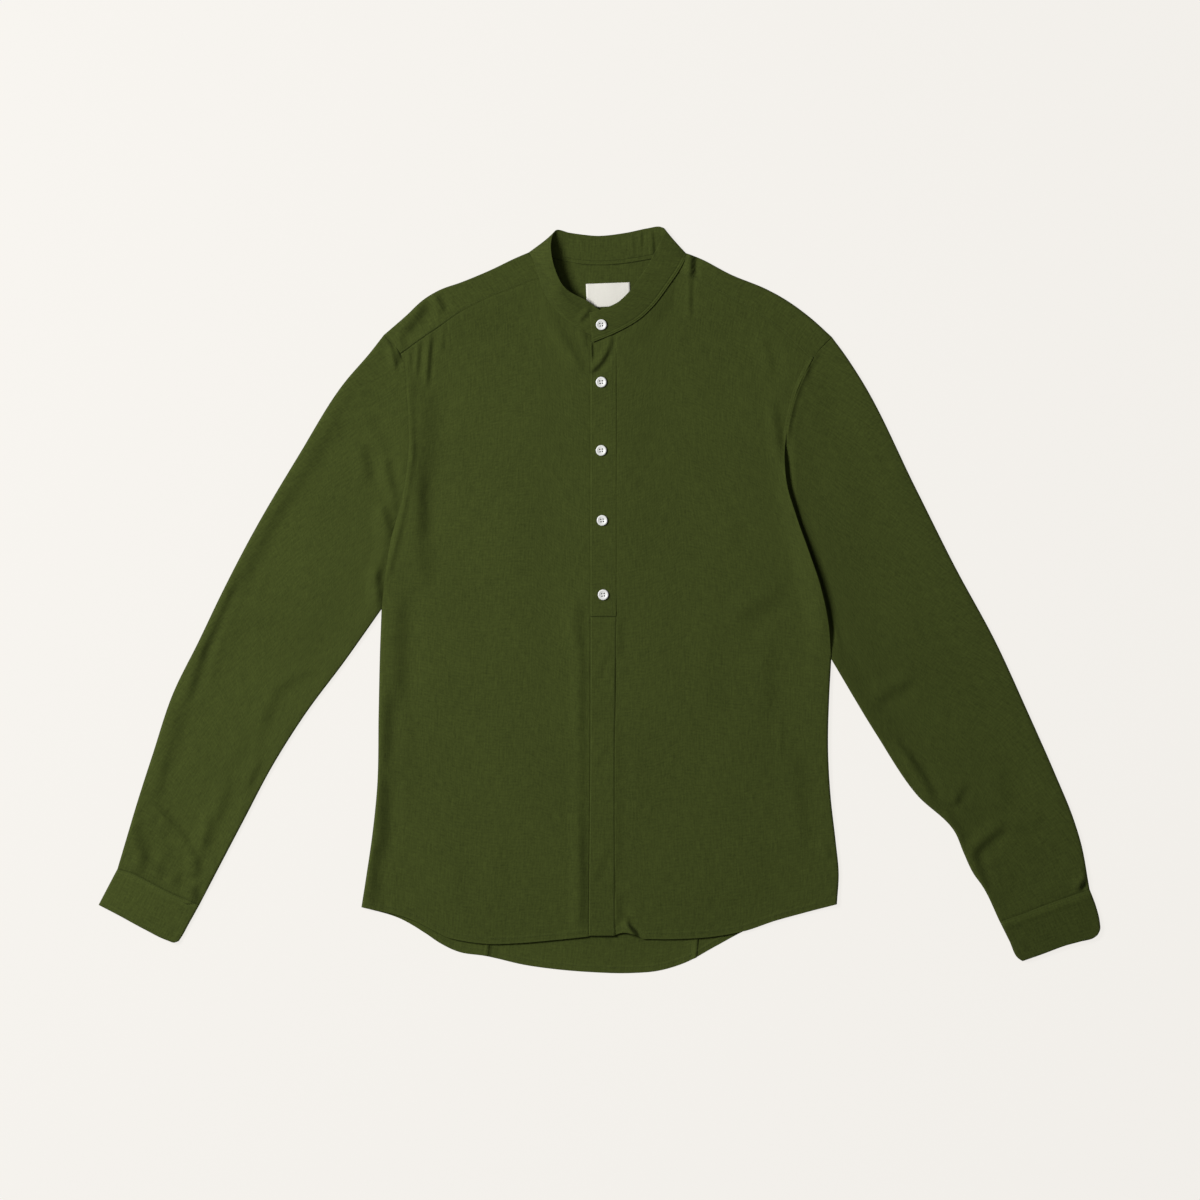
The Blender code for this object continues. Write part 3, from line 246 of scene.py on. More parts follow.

# %% [markdown]
# ## Creases
#
# A laid shirt is never flat. Its arms bend, its side seams slacken and its placket pulls. A hand that
# smooths the cloth pushes each fold over, so it stands up on one side and dips on the other, and the steep
# part between shows as a dark band. Writing the folds in a table keeps each one its own size, as in
# real cloth, where a noise texture would make them all alike.

# %% Creases. Columns: from across, from up, to across, to up, bow sideways, half width, height
# A height below zero is a fold pushed over, one above zero is a plain ridge. Both fade out at their ends.
CREASES = {
    "right front": (
        # small pleats released below the yoke
        (-200, 263, -200, 243, 0, 2.0, -0.6),
        (-190, 274, -193, 238, 0, 2.2, -1.0),
        (-178, 281, -182, 228, 0, 2.6, -1.5),
        (-165, 283, -166, 262, 0, 2.0, -0.4),
        # the drape that hangs from the chest beside the armhole
        (-179, 222, -188, 118, 2, 11, -1.3),
        (-187, 132, -187, 64, 0, 7, -1.7),
        (-188, 150, -185, 20, 0, 13, -1.2),
        (-185, 60, -182, 14, 1, 9, -0.8),
        (-199, 232, -198, 150, 0, 4, 0.8),
        # its sewn edge stands up along the armhole and catches the light
        (-203, 236, -198.5, 150, -1, 4, 1.2),
        (-198.5, 165, -209, 92, 1, 4.5, 1.8),
        (-207, 100, -225, 26, 0, 4.5, 1.9),
        (-84, 136, -84, -68, 2, 16, -0.5),
        (-103, -253, -103, -329, 0, 9, -0.4),
        (-148, -278, -150, -322, 0, 8, -0.4),
        # folds beside the side seam
        (-209, 8, -211, -116, -1, 9, -1.7),
        (-224, -94, -226, -176, 0, 7, -2.0),
        (-229, -182, -230, -276, 1, 8, -2.6),
        (-238, -254, -239, -318, 0, 7, -2.0),
        # pull from the collar to the placket, and folds beside the opening and strip
        (-45, 290, -16, 242, 1, 5, -1.0),
        (-15, 290, -14, 266, 0, 3, -0.7),
        (-66, 322, -40, 286, 0, 8, -0.5),
        (-22, -3, -22, -50, 0, 7, -1.3),
        (-19, -36, -19, -140, 1, 5, -1.0),
        (-19, -120, -19, -236, 1, 5, -0.7),
        (-19, -228, -18, -350, 1, 5.5, -1.7),
    ),
    "left front": (
        (98.4, 364, 97.2, 346, 0, 2.4, -1.1),
        (97.4, 352, 96.2, 298, 0, 2.4, -0.8),
        (175, 278, 184, 236, 2, 6, -0.8),
        (186, 210, 194, 149, 0, 5, -1.3),
        (155, 240, 165, 120, 0, 22, 0.8),
        (146, -22, 195, 7, 0, 10, -1.5),
        (142, 83, 146, 50, 0, 10, -0.5),
        (126, 10, 127, 2, 0, 7, -0.5),
        (179, -48, 179, -122, 2, 9, -0.8),
        (123, -26, 123, -121, 0, 11, -0.5),
        (191, -122, 191, -170, 0, 4, 0.7),
        (209, -162, 220, -262, 0, 9, -1.1),
        (236, -256, 247, -270, 0, 4, -0.9),
        (176, -268, 168, -321, 0, 15, -0.6),
        (21, -18, 23, -60, 0, 5, -0.7),
        (20, -120, 20, -300, 0, 6, -0.5),
        (20, -312, 20, -344, 0, 6, -1.0),
        (29, -340, 42, -357, -1, 3.0, -4.2),
        (20, -353, 40, -351, 0, 6, 1.0),
        # the body stands up over the sleeve along the lower armhole
        (194, 158, 208, 96, 3, 12, 2.4),
        (231, 264, 197, 160, -7.5, 2.6, 1.4),
        (202, 140, 242, -46, 3, 18, 8.2),
    ),
    "right sleeve": (
        # the long fold inside the outer edge
        (-264, 214, -338, 92, 0, 9, -1.5),
        (-330, 112, -392, -4, 0, 8, -1.6),
        (-384, 26, -422, -60, 1, 4, -1.5),
        (-415, -40, -437, -108, 1, 5, -1.7),
        (-441, -112, -462, -180, 0, 9, -1.5),
        (-458, -168, -470, -212, 0, 6, -1.0),
        # at the shoulder and down the armhole
        (-222.5, 274, -215, 246, 1, 2.2, -3.4),
        (-217, 273, -211, 252, 1, 2.0, -2.8),
        (-273, 189, -243, 180, 0, 7, -1.2),
        (-250, 162, -243, 124, 0, 6, -1.5),
        (-225, 152, -220, 118, 0, 5, -1.5),
        (-242, 184, -230, 156, 0, 8, 1.0),
        (-227, 100, -219, 64, 0, 6.5, -3.0),
        (-235, 34, -232, -6, 0, 5, -2.4),
        (-219, 130, -214, 87, 0, 4, -0.9),
        (-226, 62, -238, 16, 2, 5, -0.9),
        # the bend of the elbow
        (-378, -17, -320, -31, 0, 8, -0.8),
        (-330, -34, -266, -46, 0, 8, -0.8),
        (-340, -94, -296, -75, 1, 6, -0.9),
        (-338, -90, -355, -130, 0, 6, -0.7),
        (-350, -116, -374, -200, 2, 7, -0.9),
        (-356, -168, -373, -200, 0, 4, -0.8),
        (-390, -192, -422, -274, 2, 7, -1.7),
        (-369, -136, -384, -178, 0, 8, -0.8),
        # the wrist
        (-488, -206, -452, -236, 3, 5, -1.6),
        (-458, -230, -425, -278, 3, 5, -1.6),
        (-478, -226, -458, -246, 0, 12, 0.9),
        (-492, -232, -481, -290, 1, 8, -2.0),
        (-486, -290, -480, -268, 0, 5, -0.8),
        (-470, -297, -458, -268, 0, 7, -1.0),
        (-450, -304, -444, -286, 0, 5, -0.9),
        (-484, -270, -430, -308, -2, 6, -1.6),
        (-410, -225, -422, -267, 0, 5, -1.1),
        (-427, -272, -424, -292, 0, 6, -2.0),
        (-429, -302, -427, -322, 0, 5.5, -2.2),
    ),
    "left sleeve": (
        (234.5, 263, 200, 164, -7.5, 1.9, -1.1),
        (219, 250, 223, 228, 0, 3.5, -0.8),
        (214, 218, 206, 170, 0, 6, -0.6),
        (274, 208, 305, 151, 0, 14, -0.6),
        (259, 151, 282, 83, 0, 12, -0.5),
        (291, -108, 333, -86, 0, 6.5, -1.4),
        (314, -148, 334, -172, 0, 4, -1.0),
        (328, -164, 356, -210, 1, 5, -1.7),
        (360, -210, 380, -217, -1, 4.5, -0.9),
        (377, -218, 389, -196, 1, 4.5, -0.9),
        (352, -196, 380, -200, 0, 8, 0.8),
        (365, -219, 390, -259, 0, 6, -1.0),
        (396, -271, 431, -241, 2, 6, -1.9),
        (437, -240, 466, -241, 0, 8, -0.9),
        (394, -262, 411, -310, 1, 5, -1.3),
        (426, -181, 433, -219, 0, 10, -0.6),
        (503, -293, 513, -301, 0, 2.4, -1.2),
        (507, -307, 516, -293, 0, 3.0, -2.6),
        (508, -283, 516, -301, 0, 3.5, 1.0),
    ),
    "shoulder": (
        (-173, 323, -164, 307, 0, 4, -2.6),
        (-166, 329, -152, 312, 0, 3, -0.4),
        (-182, 313, -207, 281, 0, 6, -2.6),
        (-193, 300, -183, 289, 0, 3, -0.6),
        (-211, 283, -206, 266, 0, 4, -1.2),
        (98.8, 372, 97.4, 340, 0, 3.0, -3.6),
    ),
    "placket": (
        (13.6, 279, 7, 258, 1, 3.0, -1.1),
        (9, 262, -10, 240, 2, 2.8, -2.0),
        (-8.6, 273, -7.4, 256, 0, 1.6, -1.2),
    ),
    "strip": (
        (12, -50, -6, -88, 0, 4, -0.4),
        (10, -150, -4, -176, 0, 4, -0.4),
        (12, -262, -6, -300, 0, 5, -0.5),
    ),
    "band": (
        (-9, 307, -21, 294, 0, 2.5, -1.0),
        (-42, 323, -19, 309, 0, 3, -0.8),
        (36, 386, 37, 364, 0, 1.8, -0.3),
        (45, 389, 44.5, 372, 0, 1.8, -0.5),
        (50.5, 386, 51, 365, 0, 1.8, -0.25),
        (56, 390, 57.5, 363, 0, 2.0, -0.8),
    ),
    # Hidden sides. These only rise off the table, so that the shirt still lies flat.
    "back": (
        (-150, 190, -120, 60, 4, 9, 0.5),
        (-110, 30, -140, -120, -3, 11, 0.6),
        (70, 210, 110, 90, 3, 8, 0.4),
        (120, 40, 100, -110, 4, 12, 0.5),
        (-60, -190, -90, -310, 0, 9, 0.5),
        (60, -220, 95, -330, -4, 10, 0.6),
        (-30, 150, -24, 40, 2, 14, 0.3),
        (20, -60, 30, -170, -2, 10, 0.4),
    ),
    "right sleeve back": (
        (-300, 120, -262, 20, 3, 8, 0.5),
        (-350, -60, -310, -100, 2, 6, 0.4),
        (-420, -90, -380, -150, -2, 7, 0.5),
        (-440, -200, -410, -240, 2, 5, 0.4),
    ),
    "left sleeve back": (
        (300, 130, 270, 10, -3, 9, 0.5),
        (370, -30, 330, -110, 2, 7, 0.5),
        (420, -120, 400, -200, 0, 6, 0.4),
        (450, -230, 430, -290, -2, 5, 0.4),
    ),
}

# %% [markdown]
# ## Lines and surfaces
#
# A pattern piece is known by its edges. `smooth` draws a line through measured points, and `patch` stretches
# a surface between four such lines, which is how cloth hangs between its seams. `settled` then lets it sink
# from its raised edges to the table, because only a seam or a fold is stiff enough to stand up.


# %% Lines
def length_of(points):
    """Length of the line through some points."""
    return np.linalg.norm(np.diff(points, axis=0), axis=1).sum()


def read_along(distance, at, points):
    """Places at some distances along a line, whose points lie at known distances."""
    return np.stack([np.interp(distance, at, column) for column in points.T], axis=-1)


def spaced(points):
    """How far along its line each point lies, as a share of the length."""
    steps = np.linalg.norm(np.diff(points, axis=0), axis=1)
    return np.concatenate([[0.0], np.cumsum(steps)]) / steps.sum()


def smooth(points):
    """A smooth line through points, as a function of the share of its length."""
    points = np.asarray(points, float)
    at = spaced(points)
    slope = np.gradient(points, at, axis=0)

    def read(share):
        share = np.clip(np.asarray(share, float), 0.0, 1.0)
        i = np.clip(np.searchsorted(at, share, side="right") - 1, 0, len(at) - 2)
        span = (at[i + 1] - at[i])[..., None]
        t = (share - at[i])[..., None] / span
        start = (2 * t**3 - 3 * t**2 + 1) * points[i] + (t**3 - 2 * t**2 + t) * span * slope[i]
        end = (3 * t**2 - 2 * t**3) * points[i + 1] + (t**3 - t**2) * span * slope[i + 1]
        return start + end

    return read


def stretch_of(line, start, end):
    """The stretch of a line between two shares, as a line of its own."""
    return lambda share: line(start + (end - start) * np.asarray(share, float))


def chain(*stretches):
    """Lines end to end, with sharp corners between them. Each comes as (line, share where it ends)."""

    def read(share):
        share = np.asarray(share, float)
        found, begin = None, 0.0
        for line, end in stretches:
            here = line(np.clip((share - begin) / (end - begin), 0.0, 1.0))
            found = here if found is None else np.where((share > begin)[..., None], here, found)
            begin = end
        return found

    return read


def with_height(line, height):
    """A flat line raised to a height, which may be a function of the share."""

    def read(share):
        flat = line(share)[..., :2]
        level = height(share) if callable(height) else height
        return np.concatenate([flat, np.broadcast_to(level, flat.shape[:-1])[..., None]], axis=-1)

    return read


# %% Surfaces
def fall(distance):
    """From 1 at an edge to 0 at a distance of 1, levelling out at both."""
    t = np.clip(distance, 0.0, 1.0)
    return (1 - t) ** 2 * (1 + 2 * t)


def patch(left, right, bottom, top, us, vs):
    """A surface between four edge lines. left and right run from bottom to top, and us and vs are grids."""
    u, v = us[..., None], vs[..., None]
    low = (1 - u) * bottom(0.0) + u * bottom(1.0)
    high = (1 - u) * top(0.0) + u * top(1.0)
    between = (1 - u) * left(vs) + u * right(vs) + (1 - v) * bottom(us) + v * top(us)
    return between - (1 - v) * low - v * high


def flat_patch(*edges, us, vs):
    """A patch that lies flat on the table."""
    return patch(*(with_height(edge, 0.0) for edge in edges), us, vs)


def settled(edges, us, vs, size, rest, reach=SETTLE):
    """Heights of a panel that has its edges' heights there and sinks to rest within reach of them."""
    left, right, bottom, top = edges
    wide, long = size
    sides = (
        (us * wide, left(vs)),
        ((1 - us) * wide, right(vs)),
        (vs * long, bottom(us)),
        ((1 - vs) * long, top(us)),
    )
    near, weight, flat = 0.0, 0.0, 1.0
    for distance, line in sides:
        pull = fall(distance / reach)
        share = pull / (distance / reach + 0.001)
        near = near + share * (line[..., 2] - rest)
        weight = weight + share
        flat = flat * (1 - pull)
    return rest + near / (weight + 1e-9) * (1 - flat)


def rounded(distance):
    """How much of its full height a folded edge has at a distance from the fold."""
    t = np.clip(distance / FOLD, 0.0, 1.0)
    return np.sqrt(1 - (1 - t) ** 2)


def fold_columns(count=7):
    """Distances from a fold that step evenly round its quarter circle."""
    return FOLD * (1 - np.cos(np.linspace(0.0, math.pi / 2, count)))


# %% Creases and slack
SMOOTHED = np.array([-0.94, 0.34])  # towards the side on which a smoothed fold stands up
FOLD_REACH = 2.2  # how far a fold runs out beyond its steep part, in half widths as are the next two
RIDGE_REACH = 1.4
FADE_REACH = 3.2
FADE = 0.35  # how far a fold's low side comes up again, as a share of its height
FULL_SHARE = 0.25  # a crease has its full height this far to each side of its middle
END_SHARE = 0.4  # and fades out over this share of its length


def fold_section(aside):
    """Height of a fold pushed over: up on one side and down on the other. aside is in half widths."""
    return np.sin(np.clip(aside, -1.0, 1.0) * math.pi / 2) * fall((np.abs(aside) - 1.0) / FOLD_REACH)


def press(grid, piece):
    """Presses the creases of one piece into the heights of its grid."""
    for x0, y0, x1, y1, bow, half_width, height in CREASES[piece]:
        way = np.array([x1 - x0, y1 - y0], float)
        across = np.array([-way[1], way[0]]) / np.linalg.norm(way)
        offset = grid[..., :2] - (x0, y0)
        along = (offset @ way) / (way @ way)
        aside = (offset @ across - bow * 4 * along * (1 - along)) / half_width
        ends = fall(np.maximum(np.abs(along - 0.5) - FULL_SHARE, 0.0) / END_SHARE)
        ridge = fall(np.abs(aside) / RIDGE_REACH)
        pushed = fold_section(aside * np.sign(across @ SMOOTHED)) + FADE * fall(np.abs(aside) / FADE_REACH)
        grid[..., 2] += abs(height) * ends * (pushed if height < 0 else ridge)


WAVES = np.random.default_rng(11).uniform(size=(14, 3))
SHORTEST_WAVE = 45.0
WAVE_SPREAD = 120.0  # how much longer the longest is
SLACK = 0.35  # height of the waves together


def slacken(grid):
    """Adds the slight unevenness of cloth that lies loose, as a few broad waves that cross each other."""
    total = 0.0
    for turn, length, start in WAVES:
        way = np.array([math.cos(turn * math.pi), math.sin(turn * math.pi)])
        wavelength = SHORTEST_WAVE + WAVE_SPREAD * length
        total = total + np.sin(grid[..., :2] @ way * 2 * math.pi / wavelength + start * 7) * (0.4 + length)
    grid[..., 2] += SLACK * total / len(WAVES) * 2


def from_edge(grid, edge):
    """The grid turned so that every row starts at that edge. Turning it twice gives the grid back."""
    if edge in ("bottom", "top"):
        grid = grid.swapaxes(0, 1)
    return grid[:, ::-1] if edge in ("right", "top") else grid


def back_from_edge(turned, edge):
    """Undoes from_edge."""
    turned = turned[:, ::-1] if edge in ("right", "top") else turned
    return turned.swapaxes(0, 1) if edge in ("bottom", "top") else turned


def edge_distance(grid, edge):
    """How far each point of a grid lies from one of the grid's edges, measured along the cloth."""
    turned = from_edge(grid, edge)
    steps = np.linalg.norm(np.diff(turned[..., :2], axis=1), axis=-1)
    far = np.concatenate([np.zeros((len(turned), 1)), np.cumsum(steps, axis=1)], axis=1)
    return back_from_edge(far, edge)


def roll_down(grid, edge, deep, reach):
    """Rolls a sewn edge down into its seam."""
    grid[..., 2] -= deep * fall(edge_distance(grid, edge) / reach)


def tuck_under(grid, edge, wide, drop, weight=1.0):
    """Adds the seam allowance beyond an edge, which turns down and runs on under the next piece."""
    turned = from_edge(grid, edge)
    first = turned[:, 0]
    way = first - turned[:, 3]
    way[:, 2] = 0.0
    way *= np.broadcast_to(weight, len(way))[:, None] / np.linalg.norm(way, axis=1)[:, None]
    down = np.array([0.0, 0.0, drop])
    steps = ((wide, 1.0), (wide / 2, 1.0), (min(0.2, wide / 4), 0.7))  # how far out, and share of the drop
    added = [first + way * out - down * share for out, share in steps]
    return back_from_edge(np.concatenate([np.stack(added, axis=1), turned], axis=1), edge)


HEM_DEEP = 7.0
HEM_THICK = 0.6
HEM_ALONG = (0.9, 0.4)  # shares of across and up that count as along a hem
PUCKER_LENGTHS = (6.1, 9.7)
PUCKER_HEIGHT = 0.12
PUCKER_REACH = 4.0


def turn_up(grid):
    """The double layer of a hem, and the puckers that its stitching draws up."""
    far = edge_distance(grid, "bottom")
    grid[..., 2] += HEM_THICK * fall((far - HEM_DEEP) / 1.2)
    along = grid[..., 0] * HEM_ALONG[0] + grid[..., 1] * HEM_ALONG[1]
    pucker = sum(np.sin(along * 2 * math.pi / length) for length in PUCKER_LENGTHS)
    grid[..., 2] += PUCKER_HEIGHT * pucker * fall(np.abs(far - HEM_DEEP + 1.0) / PUCKER_REACH)


# %% Lines that pieces share
NECK_POINTS = np.array([row[1:] for row in NECK])
NECK_AT = spaced(NECK_POINTS)
NECK_LINE = smooth(NECK_POINTS)


def neck_share(name):
    return NECK_AT[NECK_NAMES.index(name)]


def neck_seam(start, end):
    """The neck seam between two rows of NECK."""
    both = stretch_of(NECK_LINE, neck_share(start), neck_share(end))
    return lambda share: both(share)[..., :3]


def armhole(side):
    return smooth(ARMHOLE[side])


def armhole_length(side):
    return length_of(ARMHOLE[side])


def forward_seam(side):
    start = armhole(side)(FORWARD_SEAM_SHARE)
    return smooth([start, *FORWARD_SEAM[side], NECK[NECK_NAMES.index(f"{side} corner")][1:3]])


def body_edge(side, top_share):
    """The side seam and then the armhole as one line."""
    hole = stretch_of(armhole(side), 1.0, top_share)
    return chain((smooth(SIDE_SEAM[side]), UNDERARM_SHARE), (hole, 1.0))


print("Neck seam in mm:", round(length_of(NECK_POINTS[:, :3])))

# %% [markdown]
# ## Studio
#
# The camera looks straight down through a long lens, so that nothing leans. The table is a pale sheet lit
# mostly from below, as on a light table, which keeps shadows round the shirt faint. One large soft lamp
# stands at the upper left, so each crease has a light side and a dark side.

# %% Camera and light
CAMERA_HEIGHT = 6.0
PICTURE_WIDTH = 1.272  # metres across the picture at the table
PICTURE_CENTRE = (0.00027, -0.00016)
TABLE_COLOUR = (0.913, 0.888, 0.847)
TABLE_GLOW = 0.92  # share of the table's brightness that comes from below
LAMP_PLACE = (-1.68, 0.636, 2.22)
LAMP_SIZE = 0.9
LAMP_POWER = 84.5
ROOM_LIGHT = 0.165


def in_scene(name, data):
    """A new object, linked to the scene."""
    made = bpy.data.objects.new(name, data)
    bpy.context.scene.collection.objects.link(made)
    return made


def new_camera():
    """The camera straight above, with its lens fitted to the picture's width."""
    data = bpy.data.cameras.new("Overhead camera")
    data.sensor_width = 36.0
    data.lens = data.sensor_width * CAMERA_HEIGHT / PICTURE_WIDTH
    data.clip_start, data.clip_end = 0.1, 50.0
    camera = in_scene("Overhead camera", data)
    camera.location = (*PICTURE_CENTRE, CAMERA_HEIGHT)
    bpy.context.scene.camera = camera


def new_lamp():
    """A square soft lamp that faces the middle of the shirt."""
    data = bpy.data.lights.new("Window lamp", "AREA")
    data.shape = "SQUARE"
    data.size = LAMP_SIZE
    data.energy = LAMP_POWER
    lamp = in_scene("Window lamp", data)
    lamp.location = LAMP_PLACE
    lamp.rotation_euler = (-lamp.location).to_track_quat("-Z", "Y").to_euler()


def new_room():
    """Even light from all round, and colours shown as they are."""
    world = bpy.data.worlds.new("Studio")
    bpy.context.scene.world = world
    world.use_nodes = True
    light = world.node_tree.nodes["Background"].inputs
    light["Color"].default_value = (1.0, 1.0, 1.0, 1.0)
    light["Strength"].default_value = ROOM_LIGHT
    bpy.context.scene.view_settings.view_transform = "Standard"


def new_table():
    """A large pale sheet for the shirt to lie on."""
    bpy.ops.mesh.primitive_plane_add(size=12.0)
    table = bpy.context.object
    table.name = "Table"
    material = bpy.data.materials.new("Pale light table")
    material.use_nodes = True
    tree = material.node_tree
    tree.nodes.clear()
    matt = tree.nodes.new("ShaderNodeBsdfDiffuse")
    matt.inputs["Color"].default_value = (*TABLE_COLOUR, 1.0)
    glow = tree.nodes.new("ShaderNodeEmission")
    glow.inputs["Color"].default_value = (*TABLE_COLOUR, 1.0)
    both = tree.nodes.new("ShaderNodeMixShader")
    both.inputs[0].default_value = TABLE_GLOW
    out = tree.nodes.new("ShaderNodeOutputMaterial")
    tree.links.new(matt.outputs[0], both.inputs[1])
    tree.links.new(glow.outputs[0], both.inputs[2])
    tree.links.new(both.outputs[0], out.inputs[0])
    table.data.materials.append(material)


new_camera()
new_table()
new_lamp()
new_room()
print("Camera height in metres:", CAMERA_HEIGHT)

# %% [markdown]
# ## Materials
#
# Linen is a plain weave of uneven yarn: over one, under one, with a thicker place here and there, called a
# slub. Each piece carries a map of its own cut in metres, so its threads run along it, as on the grain. Matt
# cloth scatters light evenly, with a little sheen from loose fibres when it is seen edge on. Sewn edges are
# thick, so washing and ironing rub them lighter, and a painted highlight makes them lighter still.
# Each mesh carries both as one number from its own geometry.

# %% Linen
OLIVE = (0.047, 0.0608, 0.0122)
THREAD_PITCH = 0.00062  # metres from one yarn to the next
YARN_DEEP = 0.00012  # metres
RUMPLE_DEEP = 0.0008
LUMPS = {  # how many a metre, across and along the cut
    "slubs up": (620.0, 70.0),
    "slubs across": (90.0, 560.0),
    "blotches": (14.0, 9.0),
    "flecks": (480.0, 480.0),
    "rumples": (70.0, 45.0),
}


class Nodes:
    """Short ways to add and join the nodes of one material."""

    def __init__(self, name):
        self.material = bpy.data.materials.new(name)
        self.material.use_nodes = True
        self.tree = self.material.node_tree
        self.shader = self.tree.nodes["Principled BSDF"]

    def put(self, value, socket):
        """Sets a socket to a value, or joins another node's output to it."""
        if hasattr(value, "links"):
            self.tree.links.new(value, socket)
        elif value is not None:
            socket.default_value = value

    def add(self, kind, **values):
        """A new node with some of its sockets set or joined."""
        node = self.tree.nodes.new("ShaderNode" + kind)
        for name, value in values.items():
            self.put(value, node.inputs[name])
        return node

    def math(self, operation, first, second=None):
        node = self.add("Math")
        node.operation = operation
        self.put(first, node.inputs[0])
        self.put(second, node.inputs[1])
        return node.outputs[0]

    def cut_map(self, scale):
        """The piece's own map, stretched by a scale across and along."""
        place = self.add("TexCoord").outputs["UV"]
        return self.add("Mapping", Vector=place, Scale=(*scale, 1.0)).outputs[0]

    def noise(self, kind, detail=2.0):
        """Noise from 0 to 1 with one kind of LUMPS."""
        place = self.cut_map(LUMPS[kind])
        return self.add("TexNoise", Vector=place, Scale=1.0, Detail=detail).outputs["Fac"]

    def uneven(self, kind, amount, detail=2.0):
        """Noise about zero, as strong as the amount."""
        return self.math("MULTIPLY", self.math("SUBTRACT", self.noise(kind, detail), 0.5), amount)

    def bump(self, height, strength, distance, under=None):
        node = self.add("Bump", Strength=strength, Distance=distance, Height=height, Normal=under)
        return node.outputs[0]


def weave_height(nodes, pitch):
    """Plain weave: each crossing stands up where one yarn passes over the other."""
    apart = nodes.add("SeparateXYZ", Vector=nodes.cut_map((math.pi / pitch, math.pi / pitch)))
    across = nodes.math("SINE", apart.outputs[0])
    along = nodes.math("SINE", apart.outputs[1])
    return nodes.math("MULTIPLY", across, along)


def linen(name, colour, slub=0.62, blotch=0.12, weave=0.5):
    """Matt plain weave: the colour with slubs both ways, broad faint blotches and a bump for the yarns."""
    nodes = Nodes(name)
    slubs = nodes.math("ADD", nodes.uneven("slubs up", slub), nodes.uneven("slubs across", slub * 0.7))
    broad = nodes.uneven("blotches", blotch * 2, 3.0)
    fleck = nodes.uneven("flecks", slub, 3.0)
    # the mesh's number for rubbing and a painted highlight along sewn edges, which lightens the colour
    rubbed_and_lit = nodes.add("Attribute")
    rubbed_and_lit.attribute_name = "WearAndHighlight"
    even = nodes.math("ADD", 1.0, rubbed_and_lit.outputs["Fac"])
    light = nodes.math("ADD", even, nodes.math("ADD", nodes.math("ADD", slubs, broad), fleck))
    tint = nodes.add("VectorMath")
    tint.operation = "SCALE"
    tint.inputs[0].default_value = colour
    nodes.put(light, tint.inputs["Scale"])
    nodes.put(tint.outputs[0], nodes.shader.inputs["Base Color"])
    rumple = nodes.bump(nodes.noise("rumples", 4.0), 0.6, RUMPLE_DEEP)
    yarn = nodes.bump(nodes.math("ADD", weave_height(nodes, THREAD_PITCH), slubs), weave, YARN_DEEP, rumple)
    nodes.put(yarn, nodes.shader.inputs["Normal"])
    nodes.shader.inputs["Roughness"].default_value = 0.92
    nodes.shader.inputs["Specular IOR Level"].default_value = 0.08
    nodes.shader.inputs["Sheen Weight"].default_value = 0.01
    nodes.shader.inputs["Sheen Roughness"].default_value = 0.6
    return nodes.material


CLOTH_LOOK = linen("Olive linen", OLIVE)


# %% [markdown]
# ## One piece of cloth
#
# Every piece is a grid of points on the outside of the cloth. Solidify gives it thickness inwards, which
# keeps the outside where we measured it. A second layer on the mesh maps the cut in metres, for the weave.


# %% Cloth from grids
def grid_faces(rows, columns, first, ring):
    """Quads of a grid of points, numbered from first. A ring closes from its last column to its first."""
    across = columns if ring else columns - 1
    row, column = np.meshgrid(np.arange(rows - 1), np.arange(across), indexing="ij")
    beside = (column + 1) % columns
    low, high = first + row * columns, first + (row + 1) * columns
    return np.stack([low + column, low + beside, high + beside, high + column], axis=-1).reshape(-1, 4)


def cut_places(grid, ring):
    """Where each point lies on the flat cut, in metres: along its row, and up its column."""
    closed = np.concatenate([grid, grid[:, :1]], axis=1) if ring else grid
    along = np.linalg.norm(np.diff(closed, axis=1), axis=-1)
    across = np.concatenate([np.zeros((len(grid), 1)), np.cumsum(along, axis=1)], axis=1)
    across -= across[:, -1:] / 2
    rise = np.linalg.norm(np.diff(grid, axis=0), axis=-1).mean(axis=1)
    up = np.concatenate([[0.0], np.cumsum(rise)])
    return np.stack([across, np.broadcast_to(up[:, None], across.shape)], axis=-1) * MM


def map_cut(mesh, grids, ring):
    """Writes the cut of each grid to the mesh's map, face corner by face corner."""
    corners = []
    for number, grid in enumerate(grids):
        rows = len(grid)
        places = cut_places(grid, ring)
        faces = grid_faces(rows, places.shape[1], 0, False)
        corners.append((places + number * 0.37).reshape(-1, 2)[faces].reshape(-1, 2))
    layer = mesh.uv_layers.new(name="Cut")
    layer.data.foreach_set("uv", np.concatenate(corners).astype(np.float32).ravel())


def wear_and_highlight(grid, *edges):
    """How much lighter each point is, from rubbing and a painted highlight along edges. Edges come as (edge,
    centre, reach, amount).
    """
    total = np.zeros(grid.shape[:2])
    for edge, centre, reach, amount in edges:
        total += amount * fall(np.abs(edge_distance(grid, edge) - centre) / reach)
    return total


def belongs(made, node=None):
    """Ties a piece to the shirt's one body and hides the plain solid that it stands for."""
    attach(made, "root")
    if node:
        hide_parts(node)
    print(f"{made.name}: {len(made.data.polygons)} faces")


